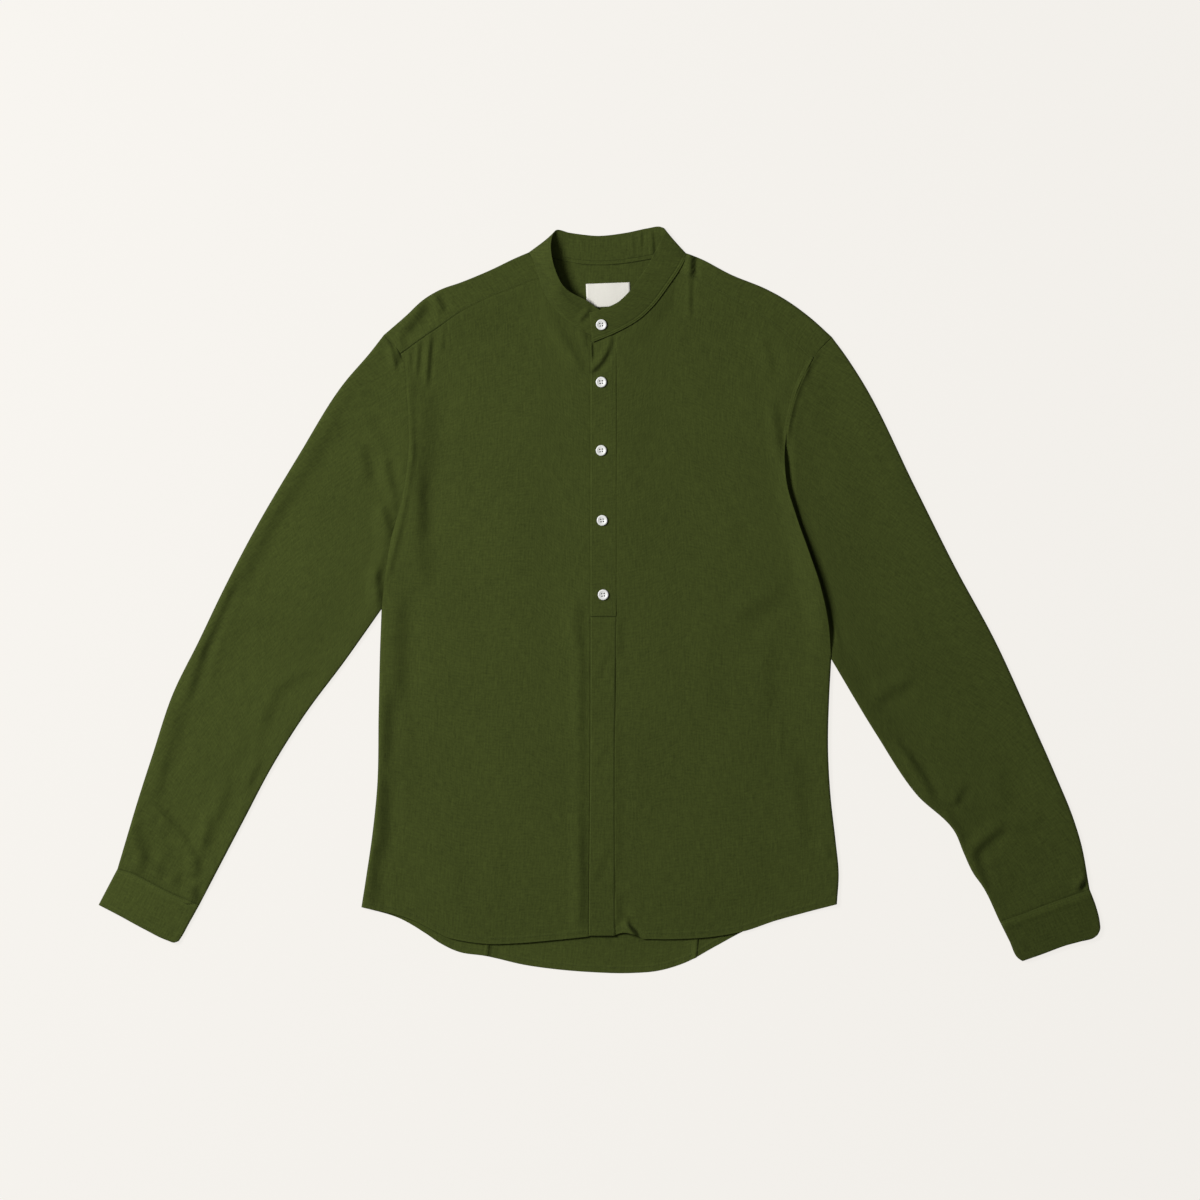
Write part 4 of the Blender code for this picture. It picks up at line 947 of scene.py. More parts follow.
def cloth(name, node, grids, thickness, facing, ring=False, worn_and_lit=None, look=CLOTH_LOOK):
    """One piece of cloth from its outer face, which looks up above the height that facing gives."""
    points, faces, first = [], [], 0
    for grid in grids:
        rows, columns = grid.shape[:2]
        faces.append(grid_faces(rows, columns, first, ring))
        points.append(grid.reshape(-1, 3) * MM)
        first += rows * columns
    mesh = bpy.data.meshes.new(name)
    mesh.from_pydata(np.concatenate(points).tolist(), [], np.concatenate(faces).tolist())
    map_cut(mesh, grids, ring)
    # how much lighter each point is: rubbing and a painted highlight along sewn edges
    rubbed_and_lit = mesh.attributes.new("WearAndHighlight", "FLOAT", "POINT")
    if worn_and_lit is not None:
        rubbed_and_lit.data.foreach_set("value", worn_and_lit.astype(np.float32).ravel())
    work = bmesh.new()
    work.from_mesh(mesh)
    bmesh.ops.remove_doubles(work, verts=work.verts, dist=1e-6)
    bmesh.ops.recalc_face_normals(work, faces=work.faces)
    work.to_mesh(mesh)
    work.free()
    if sum(p.normal.z * (p.center.z - facing * MM) * p.area for p in mesh.polygons) < 0:
        mesh.flip_normals()
    mesh.shade_smooth()
    mesh.materials.append(look)
    made = in_scene(name, mesh)
    solid = made.modifiers.new("Thickness", "SOLIDIFY")
    solid.thickness = thickness * MM
    solid.offset = -1.0
    solid.use_quality_normals = True
    belongs(made, node)


# %% [markdown]
# ## Fronts
#
# Each front runs from the side seam and armhole to the centre, and from the hem to the forward shoulder seam
# and the neck. It rolls over at the side seam, where front and back are joined.


# %% Front panels
FRONT_COLUMNS_COUNT = 124
FRONT_ROWS_COUNT = 262
SEWN_COLUMNS = np.linspace(SEAM_INSET, FOLD, 7)
FORWARD_SEAM_ROLL = {"right": (2.0, 0.15), "left": (0.2, 0.2)}  # how deep at the armhole, and further on
BAND_SEAM_ROLL = {"right": 0.0, "left": 1.8}
BAND_SEAM_REACH = 2.6
STRIP_SEAM_ROLL = 0.9
PLACKET_SEAM_ROLL = 0.25
SEAM_REACH = 1.3
OPENING_STEP = 0.08  # share of the centre edge over which it rises from the strip to the placket
UNDER_SEAM = 0.2  # how far the front lies below the yoke and the band
CENTRE_ALLOWANCE = (2.0, 0.3)  # how wide, and how far down
TOP_ALLOWANCE = (3.0, 0.3)
LOWEST = 1.4  # the cloth of an upper layer can't sink below this, on the layer under it
SEAM_STEPS = np.array([2.0, 1.3, 0.8, 0.4, SEAM_INSET])  # from a seam, where its groove needs close points
HEM_STEPS = np.array([0.0, 0.6, 1.4, 2.4, 3.6, 4.6, 5.3, 6.0, 6.7, 7.4, 8.1, 8.8])


def forward_roll(side, share):
    """How deep the cloth rolls into the forward seam, by the share of the seam from the armhole."""
    start, end = FORWARD_SEAM_ROLL[side]
    return end + (start - end) * fall(share / 0.6)


def edge_columns(vs):
    """Distances of a panel's columns from its outer edge: rounded below the underarm, sewn above."""
    sewn = (vs > UNDERARM_SHARE + 1e-9)[:, None]
    return np.where(sewn, SEWN_COLUMNS, fold_columns())


def height_by_edge(side, us_mm, vs, top_share):
    """How much of its full height a panel has near its side seam and underarm, where it rounds over."""
    above = np.maximum(vs - UNDERARM_SHARE, 0.0) / (1 - UNDERARM_SHARE)
    along = above * (1 - top_share) * armhole_length(side)
    return rounded(np.hypot(us_mm, along))


def front_lines(side):
    """The left, right, bottom and top edges of a front, seen from its side seam."""
    neck = neck_seam(f"{side} corner", NECK_END[side])
    corner = NECK_CORNER_SHARE[side]
    hem_corner, centre = SIDE_SEAM[side][0][0], CENTRE_EDGE[side]
    hem_width = abs(hem_corner - centre[0][0])
    opening = (PLACKET_FOOT - centre[0][1]) / (centre[-1][1] - centre[0][1])

    def side_height(v):
        return np.where(v < UNDERARM_SHARE, SIDE_TOP, ARMHOLE_TOP)

    def centre_height(v):
        risen = 1 - fall((v - opening + OPENING_STEP / 2) / OPENING_STEP)
        return HEM_TOP + (CENTRE_TOP[side] - HEM_TOP) * risen

    def hem_height(u):
        return HEM_TOP + (SIDE_TOP - HEM_TOP) * fall(u * hem_width / HEM_CORNER)

    def top_height(u):
        along_neck = np.maximum(u - corner, 0.0) / (1 - corner)
        return np.where(u < corner, SHOULDER_TOP, neck(along_neck)[..., 2]) - UNDER_SEAM

    top = chain((forward_seam(side), corner), (lambda t: neck(t)[..., :2], 1.0))
    return (
        with_height(body_edge(side, FORWARD_SEAM_SHARE), side_height),
        with_height(smooth(centre), centre_height),
        with_height(smooth(FRONT_HEM[side]), hem_height),
        with_height(top, top_height),
    )


def front_grid(side):
    left, right, bottom, top = front_lines(side)
    inner = np.linspace(0.0, 1.0, FRONT_ROWS_COUNT)[4:-1]
    vs = np.concatenate([HEM_STEPS / FRONT_LENGTH, inner, 1 - SEAM_STEPS / FRONT_LENGTH])
    widths = np.linalg.norm(left(vs)[:, :2] - right(vs)[:, :2], axis=1)
    near = edge_columns(vs) / widths[:, None]
    inner_columns = np.linspace(0.0, 1.0, FRONT_COLUMNS_COUNT)[3:-2]
    spread = np.broadcast_to(inner_columns, (len(vs), len(inner_columns)))
    us = np.concatenate([near, spread, 1 - SEAM_STEPS / widths[:, None]], axis=1)
    rows = np.repeat(vs[:, None], us.shape[1], axis=1)
    length = np.linalg.norm(top(us[0])[:, :2] - bottom(us[0])[:, :2], axis=1)
    grid = patch(left, right, bottom, top, us, rows)
    grid[..., 2] = settled((left, right, bottom, top), us, rows, (widths[:, None], length), FRONT_REST)
    press(grid, f"{side} front")
    slacken(grid)
    turn_up(grid)
    corner = NECK_CORNER_SHARE[side]
    at_yoke = us[-1] < corner
    deep = np.where(at_yoke, forward_roll(side, us[-1] / corner), BAND_SEAM_ROLL[side])
    roll_down(grid, "top", deep, np.where(at_yoke, SEAM_REACH, BAND_SEAM_REACH))
    at_centre = np.where(grid[:, -1:, 1] < PLACKET_FOOT, STRIP_SEAM_ROLL, PLACKET_SEAM_ROLL)
    roll_down(grid, "right", at_centre, SEAM_REACH)
    lifted = np.maximum(grid[..., 2], LOWEST)
    by_edge = height_by_edge(side, us * widths[:, None], rows, FORWARD_SEAM_SHARE)
    grid[..., 2] = MIDDLE + (lifted - MIDDLE) * by_edge
    return grid


def front_with_allowances(grid):
    """The front with what is hidden in its seams: under the placket and strip, the yoke and the band."""
    at_centre = tuck_under(grid, "right", *CENTRE_ALLOWANCE)
    return tuck_under(at_centre, "top", *TOP_ALLOWANCE)


fronts = {side: front_grid(side) for side in SIDES}
for side, grid in fronts.items():
    whole = front_with_allowances(grid)
    # lighter along the side seam, the armhole and the hem: rubbing and a painted highlight on these raised
    # edges
    rubbed_and_lit = wear_and_highlight(whole, ("left", 1.5, 2.5, 0.06), ("bottom", 1.0, 2.0, 0.08))
    cloth(f"{side}_front", f"front_{side}", [whole], SHELL, facing=0.0, worn_and_lit=rubbed_and_lit)

# %% [markdown]
# ## Back and yoke
#
# The back is three panels joined by flat-felled seams, where each raw edge is folded inside the other. It
# is longer than the front, so its hem shows below. The yoke goes over both shoulders to the forward seams,
# which is why no seam lies on top of a shoulder.

# %% Back panels
BACK_ROWS_COUNT = 150
FELL = 4.75  # half the width of a felled seam
FELL_RIDGE = 0.4
FELL_DROP = -0.75  # the middle panel's allowance lies on top of the side panels
ABOVE_BACK = 10.0  # higher than any of the back, whose outer face looks down
BACK_PANELS = {
    "right_back": ("back_side_right", 34),
    "middle_back": ("back_centre", 48),
    "left_back": ("back_side_left", 36),
}


def yoke_seam():
    """The yoke's back seam, from the right armhole to the left."""
    ends = [armhole(side)(YOKE_SEAM_SHARE) for side in SIDES]
    return smooth([ends[0], YOKE_SEAM_CENTRE, ends[1]])


def back_columns(name, vs):
    """Shares across the back for one of its panels. The outer two round over at their sides."""
    near = edge_columns(vs) / BACK_WIDTH
    inset = SEAM_INSET / BACK_WIDTH
    first, second = BACK_SEAM_SHARES
    count = BACK_PANELS[name][1]
    start = 2 * FOLD / BACK_WIDTH

    def spread(low, high):
        return np.broadcast_to(np.linspace(low, high, count), (len(vs), count))

    if name == "right_back":
        return np.concatenate([near, spread(start, first - inset)], axis=1)
    if name == "left_back":
        return np.concatenate([spread(second + inset, 1 - start), 1 - near[:, ::-1]], axis=1)
    return spread(first + inset, second - inset)


def felled_edges(name):
    """The edges of a back panel that are felled seams."""
    return [edge for edge, outer in (("right", "left_back"), ("left", "right_back")) if name != outer]


def back_grid(name):
    vs = np.concatenate([HEM_STEPS / FRONT_LENGTH, np.linspace(0.0, 1.0, BACK_ROWS_COUNT)[3:]])
    us = back_columns(name, vs)
    rows = np.repeat(vs[:, None], us.shape[1], axis=1)
    rows[-1] -= SEAM_INSET / armhole_length("right")
    sides = [body_edge(side, YOKE_SEAM_SHARE) for side in SIDES]
    grid = flat_patch(*sides, smooth(BACK_HEM), yoke_seam(), us=us, vs=rows)
    press(grid, "back")
    turn_up(grid)
    for edge in felled_edges(name):
        grid[..., 2] += FELL_RIDGE * fall(edge_distance(grid, edge) - FELL)
    to_edge = np.minimum(us, 1 - us) * BACK_WIDTH
    fold = height_by_edge("right", to_edge, rows, YOKE_SEAM_SHARE)
    grid[..., 2] = np.maximum(grid[..., 2], 0.0) * fold + MIDDLE * (1 - fold)
    return grid


backs = {name: back_grid(name) for name in BACK_PANELS}
for name, grid in backs.items():
    if name == "middle_back":
        grid = tuck_under(tuck_under(grid, "left", FELL, FELL_DROP), "right", FELL, FELL_DROP)
    # lighter towards the back's hem, fading out over 60 mm
    rubbed_and_lit = wear_and_highlight(grid, ("bottom", 0.0, 60.0, 0.09))
    cloth(name, BACK_PANELS[name][0], [grid], SHELL, ABOVE_BACK, worn_and_lit=rubbed_and_lit)


# %% Yoke
YOKE_SHOULDER_COLUMNS = 60
YOKE_NECK_COLUMNS = 60


def shoulder_stops(side):
    """Shares along the shoulder fold from the armhole to the neck."""
    length = length_of(SHOULDER_FOLD[side])
    inner = np.linspace(0.0, 1.0, YOKE_SHOULDER_COLUMNS)[1:-1]
    return np.concatenate([SEAM_STEPS[::-1] / length, inner, 1.0 - (SEAM_STEPS + SEAM_INSET) / length])


def yoke_over_shoulder(side):
    """The leaf that comes over the shoulder fold to the forward seam."""
    neck = neck_seam(f"{side} fold", f"{side} corner")
    close = 1 + LAP / SHOULDER_DEPTH - SEAM_STEPS / SHOULDER_DEPTH
    rows = [*(fold_columns() / SHOULDER_DEPTH), *np.linspace(0.18, 0.92, 12), *close]
    us, vs = np.meshgrid(shoulder_stops(side), rows)
    beyond = np.maximum(vs - 1.0, 0.0) * SHOULDER_DEPTH
    outer = stretch_of(armhole(side), 0.0, FORWARD_SEAM_SHARE)
    fold = smooth(SHOULDER_FOLD[side])
    grid = flat_patch(outer, neck, fold, forward_seam(side), us=us, vs=np.minimum(vs, 1.0))
    grid[..., 1] -= beyond
    risen = 1 - fall(us * SHOULDER_LENGTH / SETTLE)
    grid[..., 2] = ARMHOLE_TOP + (SHOULDER_TOP - ARMHOLE_TOP) * risen
    press(grid, "shoulder")
    roll_down(grid, "top", forward_roll(side, us[0]), 1.2)
    roll_down(grid, "right", BAND_SEAM_ROLL[side], BAND_SEAM_REACH)
    grid[..., 2] = MIDDLE + (grid[..., 2] - MIDDLE) * rounded(vs * SHOULDER_DEPTH)
    return grid


def yoke_lower_leaf():
    """The leaf on the table, from the shoulder folds and the back of the neck to the yoke seam."""
    back_neck = neck_seam("right fold", "left fold")
    first, second = YOKE_NECK_SHARES
    top = chain(
        (smooth(SHOULDER_FOLD["right"]), first),
        (lambda t: back_neck(t)[..., :2], second),
        (stretch_of(smooth(SHOULDER_FOLD["left"]), 1.0, 0.0), 1.0),
    )
    right_stops = shoulder_stops("right") * first
    left_stops = 1 - (1 - second) * shoulder_stops("left")[::-1]
    neck_columns = first + (second - first) * np.linspace(0.0, 1.0, YOKE_NECK_COLUMNS)[1:-1]
    rows = [*np.linspace(SEAM_INSET / YOKE_DEPTH, 0.94, 22), *(1 - fold_columns()[::-1] / YOKE_DEPTH)]
    us, vs = np.meshgrid(np.concatenate([right_stops, neck_columns, left_stops]), rows)
    at_shoulder = (us <= right_stops[-1] + 1e-9) | (us >= left_stops[0] - 1e-9)
    at_neck = vs * (1 - 2 * SEAM_INSET / YOKE_NECK_DEPTH)
    sides = [stretch_of(armhole(side), YOKE_SEAM_SHARE, 0.0) for side in SIDES]
    grid = flat_patch(*sides, yoke_seam(), top, us=us, vs=np.where(at_shoulder, vs, at_neck))
    grid[..., 2] = np.where(at_shoulder, MIDDLE * (1 - rounded((1 - vs) * YOKE_DEPTH)), 0.0)
    return grid


shoulders = {side: yoke_over_shoulder(side) for side in SIDES}
yoke_back = yoke_lower_leaf()
yoke_grids = [shoulders["right"], yoke_back, shoulders["left"]]
cloth("shoulder_yoke", "yoke", yoke_grids, SHELL, facing=MIDDLE)


# %% [markdown]
# ## Placket, stand and strip
#
# The opening has two facings. The wearer's left one lies on top and is the placket. The right one, below
# it, carries the buttons. From the placket's end to the hem a plain strip joins the two fronts.


# %% Facings of the opening
STRIP_WIDTH = 26.0
STRIP_END_RIDGE = 0.5  # where the strip's end is turned in, below the placket
STRIP_END_AT = 5.0
PLACKET_ROLLS = (("left", 0.3), ("right", 0.25), ("bottom", 0.2), ("top", 1.0))


def strip_columns(count):
    """Shares across a strip, closer at its edges."""
    close = (SEAM_STEPS[::-1] - SEAM_INSET) / STRIP_WIDTH
    return np.concatenate([close, np.linspace(0.1, 0.9, count - 2 * len(close)), 1 - close[::-1]])


def strip_grid(left_x, right_x, foot, head, height, columns, rows):
    """A flat strip. The edges' across places and the ends' up places are functions of the other way."""
    us, vs = np.meshgrid(strip_columns(columns), np.linspace(0.0, 1.0, rows))
    ends_x = left_x(0.5) + (right_x(0.5) - left_x(0.5)) * us
    y = foot(ends_x) + (head(ends_x) - foot(ends_x)) * vs
    x = left_x(y) + (right_x(y) - left_x(y)) * us
    return np.stack([x, y, np.full(x.shape, height)], axis=-1)


def edge_at(side):
    """How far across the centre edge of a front lies, as a function of up."""
    across, up = np.array(CENTRE_EDGE[side]).T
    return lambda y: np.interp(y, up, across)


def seam_up(start, end):
    """How far up the neck seam lies between two rows of NECK, as a function of across."""
    line = neck_seam(start, end)(np.linspace(0.0, 1.0, 30))[:, :2]
    beyond = [2 * line[0] - line[1], *line, 2 * line[-1] - line[-2]]
    across, up = np.array(sorted(map(tuple, beyond))).T
    return lambda x: np.interp(x, across, up)


def level_with(height):
    return lambda x: np.full(np.shape(x), height)


def placket_grid():
    over = seam_up("placket seam", "upper end")
    grid = strip_grid(
        lambda y: edge_at("right")(y) - PLACKET_OVERHANG,
        lambda y: edge_at("left")(y) + LAP,
        level_with(PLACKET_FOOT),
        lambda x: over(x) + LAP,
        PLACKET_TOP,
        27,
        200,
    )
    press(grid, "placket")
    for edge, deep in PLACKET_ROLLS:
        roll_down(grid, edge, deep, 1.2)
    return grid


def stand_grid():
    under = seam_up("hidden end", "lap edge")
    return strip_grid(
        lambda y: edge_at("right")(y) + SEAM_INSET,
        lambda y: edge_at("left")(y) - 2.5,
        level_with(PLACKET_FOOT),
        lambda x: under(x) - 2 * SEAM_INSET,
        BUTTON_STAND_TOP,
        13,
        60,
    )


def centre_strip_grid():
    hem_right, hem_left = CENTRE_EDGE["right"][0][1], CENTRE_EDGE["left"][0][1]
    grid = strip_grid(
        lambda y: edge_at("right")(y) - LAP,
        lambda y: edge_at("left")(y) + LAP,
        level_with((hem_right + hem_left) / 2),
        level_with(PLACKET_FOOT + LAP),
        STRIP_TOP,
        27,
        200,
    )
    press(grid, "strip")
    turn_up(grid)
    for edge in ("left", "right"):
        roll_down(grid, edge, 0.6, 1.5)
    grid[..., 2] += STRIP_END_RIDGE * fall(np.abs(edge_distance(grid, "top") - STRIP_END_AT) / 3.0)
    roll_down(grid, "top", 0.4, 2.0)
    return grid


placket = placket_grid()
stand = stand_grid()
centre_strip = centre_strip_grid()
# painted highlight along the edges of the placket and strip, strongest on the left edge, which faces the
# lamp, with some rubbing
strip_wear_and_light = (("left", 1.0, 1.4, 0.14), ("right", 0.8, 1.0, 0.05), ("top", 5.0, 3.0, 0.05))
worn_and_lit = wear_and_highlight(placket, *strip_wear_and_light)
cloth("buttonhole_placket", "placket", [placket], DOUBLE_SHELL, facing=0.0, worn_and_lit=worn_and_lit)
cloth("button_facing", "button_stand", [stand], DOUBLE_SHELL, facing=0.0)
worn_and_lit = wear_and_highlight(centre_strip, *strip_wear_and_light)
cloth("front_strip", "centre_strip", [centre_strip], DOUBLE_SHELL, facing=0.0, worn_and_lit=worn_and_lit)


# %% [markdown]
# ## Collar band
#
# The band is a straight stand of two layers, cut 30 mm high and sewn round the neck. Its left end laps over
# its right. On the table the wearer's left side has fallen flat, while the right side still stands and hides
# the back of its own seam in shadow.

# %% Band
BAND_COLUMNS = 400
BAND_HEIGHT = 30.0
STANDING = ("lap edge", "right high", "right fold", "back 1")  # starts to stand, stands, and lies down
BEHIND = ("back 1", "back 2", "back 4", "left fold")
FALLEN = ("left fold", "left corner", "placket seam")
UP_THE_BAND = np.array([*np.linspace(0.0, 0.16, 13), 0.2, *np.linspace(0.25, 0.95, 12), 0.98, 1.0])
BAND_BOW = 0.35  # how much the stiffened band bulges where it lies flat
STANDING_BOW = 3.0  # and where it stands up
BEHIND_LIFT = 1.1  # the back of the band lies off the table by this, but not along its stitching
LEFT_RIDGE = 0.5  # the foot of the left side is thick, with a dip above it
LEFT_DIP = 0.3
LIP = 0.3  # how far the foot stands above the piece that it is sewn on, and how much that changes
LIP_LEFT = 1.2
LIP_STANDING = -0.4
LIP_HEIGHT = 0.7  # the height of the foot where it lies behind


def band_grid():
    """The band from its hidden end round the neck to its upper end, foot to head."""
    round_neck = np.linspace(0.0, 1.0, BAND_COLUMNS)
    line = NECK_LINE(round_neck)
    shares = UP_THE_BAND[:, None]
    foot, head = line[None, :, :3], line[None, :, 3:]
    grid = foot + (head - foot) * shares[..., None]
    stands, lies_behind, lies_left = (
        np.interp(round_neck, [neck_share(name) for name in names], [0.0, 1.0, 1.0, 0.0][: len(names)])
        for names in (STANDING, BEHIND, FALLEN)
    )
    grid[..., 2] += (BAND_BOW + (STANDING_BOW - BAND_BOW) * stands) * 4 * shares * (1 - shares)
    press(grid, "band")
    up = shares * BAND_HEIGHT
    grid[..., 2] += lies_behind * BEHIND_LIFT * (fall(up / 45.0) - fall(np.abs(up - 3.0) / 0.8))
    foot_form = LEFT_RIDGE * fall(np.abs(up - 0.9) / 1.1) - LEFT_DIP * fall(np.abs(up - 2.6) / 1.2)
    grid[..., 2] += lies_left * foot_form
    grid[..., 2] = np.maximum(grid[..., 2], 0.0)
    rise = grid[1] - grid[0]
    lapped = grid[0] - rise * 2 * LAP / np.linalg.norm(rise, axis=1)[:, None]
    lip = LIP + LIP_LEFT * lies_left + LIP_STANDING * stands
    lapped[:, 2] = np.where(grid[0][:, 2] < MIDDLE / 2, LIP_HEIGHT, grid[0][:, 2] + lip)
    return np.concatenate([lapped[None], grid], axis=0)


band = band_grid()
# lighter along the band's head, foot and upper end: rubbing and a painted highlight
band_wear_and_light = wear_and_highlight(band, ("top", 0.4, 1.2, 0.1), ("bottom", 1.0, 1.2, 0.06), ("right", 0.5, 1.2, 0.08))
cloth("neck_band", "collar_band", [band], DOUBLE_SHELL, facing=MIDDLE, worn_and_lit=band_wear_and_light)

# %% [markdown]
# ## Sleeves and cuffs
#
# A sleeve is one piece, closed under the arm. Laid flat it is a tube with a fold down each side. It narrows
# to the cuff, which is a separate strip that laps on the side we can't see.

# %% Sleeves
SLEEVE_ROWS = 215
SLEEVE_COLUMNS = 84
SLEEVE_CUFF_ROLL = {"right": 0.9, "left": 0.45}
# The left sleeve sinks beside the body's raised edge: how deep, and between which shares of the armhole
SLEEVE_DROP = {"right": (0.0, 0.0, 1.0), "left": (4.5, 0.3, 0.97)}
SLEEVE_DROP_REACH = 18.0
SLEEVE_DROP_FADE = 0.1
BODY_ALLOWANCE = (5.0, 0.4)  # how wide, and how far down from the upper leaf
CUFF_ALLOWANCE = (4.0, 0.1)
LOWER_BODY_ALLOWANCE = (5.0, -0.8)
LOWER_CUFF_ALLOWANCE = (0.2, 0.0)


def sleeve_places(side):
    """Shares across and along the sleeve for each point of its grid, and how wide it is at each row."""
    outer, inner = smooth(SLEEVE_OUTER[side]), smooth(SLEEVE_INNER[side])
    close = SEAM_STEPS / SLEEVE_LENGTH
    vs = np.concatenate([close[::-1], np.linspace(0.0, 1.0, SLEEVE_ROWS)[2:-2], 1 - close])
    wide = np.linalg.norm(outer(vs) - inner(vs), axis=1)
    wide[0] = armhole_length(side)
    near = fold_columns() / wide[:, None]
    flat = np.broadcast_to(np.linspace(0.0, 1.0, SLEEVE_COLUMNS)[3:-3], (len(vs), SLEEVE_COLUMNS - 6))
    us = np.concatenate([near, flat, 1 - near[:, ::-1]], axis=1)
    return us, np.repeat(vs[:, None], us.shape[1], axis=1), wide[:, None]


def sleeve_leaves(side):
    """The upper leaf of the sleeve from the outer fold to the inner, and the lower leaf under it."""
    us, rows, wide = sleeve_places(side)
    edges = (
        with_height(smooth(SLEEVE_OUTER[side]), SIDE_TOP),
        with_height(smooth(SLEEVE_INNER[side]), SIDE_TOP),
        with_height(armhole(side), SLEEVE_HEAD_TOP),
        with_height(smooth(CUFF_SEAM[side]), CUFF_SEAM_TOP),
    )
    upper = patch(*edges, us, rows)
    reach = np.minimum(SETTLE, 0.4 * wide)
    upper[..., 2] = settled(edges, us, rows, (wide, SLEEVE_LENGTH), SLEEVE_REST, reach)
    press(upper, f"{side} sleeve")
    slacken(upper)
    roll_down(upper, "top", SLEEVE_CUFF_ROLL[side], 1.8)
    depth, start, end = SLEEVE_DROP[side]
    after, before = (us[0] - start) / SLEEVE_DROP_FADE, (end - us[0]) / SLEEVE_DROP_FADE
    drop = depth * (1 - fall(after)) * (1 - fall(before))
    roll_down(upper, "bottom", drop, SLEEVE_DROP_REACH)
    upper[..., 2] = np.maximum(upper[..., 2], LOWEST)
    from_fold = np.minimum(us, 1 - us) * wide
    lower = upper * (1.0, 1.0, 0.0)
    press(lower, f"{side} sleeve back")
    for leaf in (upper, lower):
        leaf[..., 2] = MIDDLE + (leaf[..., 2] - MIDDLE) * rounded(from_fold)
    return upper, lower


def sleeve_tube(upper, lower):
    """The two leaves as one tube, with allowances in the body and the cuff that fade out at the folds."""
    from_fold = np.minimum(edge_distance(upper, "left"), edge_distance(upper, "right"))
    at_body, at_cuff = (np.clip(from_fold[row] / 10.0 - 0.3, 0.02, 1.0) for row in (0, -1))
    upper = tuck_under(upper, "bottom", *BODY_ALLOWANCE, at_body)
    upper = tuck_under(upper, "top", *CUFF_ALLOWANCE, at_cuff)
    lower = tuck_under(lower, "bottom", *LOWER_BODY_ALLOWANCE, at_body)
    lower = tuck_under(lower, "top", *LOWER_CUFF_ALLOWANCE, at_cuff)
    hidden = np.concatenate([lower[:, 1:9], lower[:, 9:-8:3], lower[:, -8:-1]], axis=1)
    return np.concatenate([upper, hidden[:, ::-1]], axis=1)


sleeves = {side: sleeve_leaves(side) for side in SIDES}
for side, (upper, lower) in sleeves.items():
    cloth(f"{side}_sleeve", f"sleeve_{side}", [sleeve_tube(upper, lower)], SHELL, MIDDLE, ring=True)


# %% Cuffs
CUFF_TONE = {"right": 0.06, "left": -0.04}  # how much lighter the whole cuff is than the sleeve; below zero it is darker
CUFF_RUBBED_AND_LIT = {"right": 0.11, "left": 0.24}  # and how much lighter still along its sewn edge: a painted highlight on its ridge, with some rubbing
CUFF_RIDGE = 0.8  # how much the seam allowances inside thicken the sewn edge
CUFF_RIDGE_WIDE = 6.0


def cuff_surface(side):
    """Places on a cuff, as a function of the shares across and along it."""
    seam, edge = smooth(CUFF_SEAM[side]), smooth(CUFF_EDGE[side])
    left = smooth([CUFF_SEAM[side][0], *CUFF_OUTER[side], CUFF_EDGE[side][0]])
    right = smooth([CUFF_SEAM[side][-1], *CUFF_INNER[side], CUFF_EDGE[side][-1]])
    return lambda us, vs: patch(left, right, seam, edge, us, vs)


def cuff_path(side):
    """The section of a cuff's strip, with its two laps on the hidden side."""
    wide = np.linalg.norm(np.subtract(CUFF_SEAM[side][0], CUFF_SEAM[side][-1]))
    turn = [(d / wide, 1 - rounded(d), 1 + rounded(d)) for d in fold_columns()]
    outer_fold = [(u, MIDDLE * low, MIDDLE * low) for u, low, _ in turn[::-1]]
    outer_fold += [(u, MIDDLE * high, MIDDLE * high) for u, _, high in turn[1:]]
    inner_fold = [(1 - u, low, other) for u, low, other in outer_fold[::-1]]
    coarse = np.array([*CUFF_LAP, *outer_fold, *CUFF_TOP, *inner_fold, *CUFF_UNDER_LAP], float)
    at = np.arange(len(coarse))
    fine = np.linspace(0, len(coarse) - 1, 4 * (len(coarse) - 1) + 1)
    return read_along(fine, at, coarse)


def cuff_grid(side):
    path = cuff_path(side)
    close = [0.0, 0.4, 0.8, 1.2, 2.0, 3.0, 4.0, 5.0]
    from_seam = np.concatenate([close, np.linspace(CUFF_RIDGE_WIDE, CUFF_LENGTH, 22)])
    vs = from_seam / CUFF_LENGTH
    lift = 1 - fall(vs / 0.3)
    us, rows = np.meshgrid(path[:, 0], vs)
    height = path[:, 1] + (path[:, 2] - path[:, 1]) * lift[:, None]
    upper = fall((MIDDLE + 2.0 - height) / 1.0)
    ridge = fall((rows * CUFF_LENGTH - CUFF_RIDGE_WIDE) / 3.0) - 0.7 * fall(rows * CUFF_LENGTH / 1.2)
    height = height + upper * (CUFF_RIDGE * ridge - 0.1)
    return np.concatenate([cuff_surface(side)(us, rows), height[..., None]], axis=-1)


cuffs = {side: cuff_grid(side) for side in SIDES}
for side, grid in cuffs.items():
    # painted highlight, with some rubbing, along the cuff's sewn ridge, and a little along its free edge
    cuff_edge_light = wear_and_highlight(grid, ("bottom", 3.4, 4.6, CUFF_RUBBED_AND_LIT[side]), ("top", 0.5, 1.5, 0.05))
    rubbed_and_lit = CUFF_TONE[side] + cuff_edge_light
    cloth(f"{side}_cuff", f"cuff_{side}", [grid], DOUBLE_SHELL, MIDDLE, worn_and_lit=rubbed_and_lit)

# %% [markdown]
# ## Label
#
# A plain woven tape is folded at its ends and sewn inside the yoke, where it lies flat on the cloth.

# %% Label
LABEL_CENTRE = (9.0, 323.2)
LABEL_SIZE = (46.4, 25.0)
LABEL_TURN = math.radians(2.1)
LABEL_TOP = 1.4
LABEL_SHELL = 0.5
LABEL_CREAM = (0.79, 0.77, 0.70)


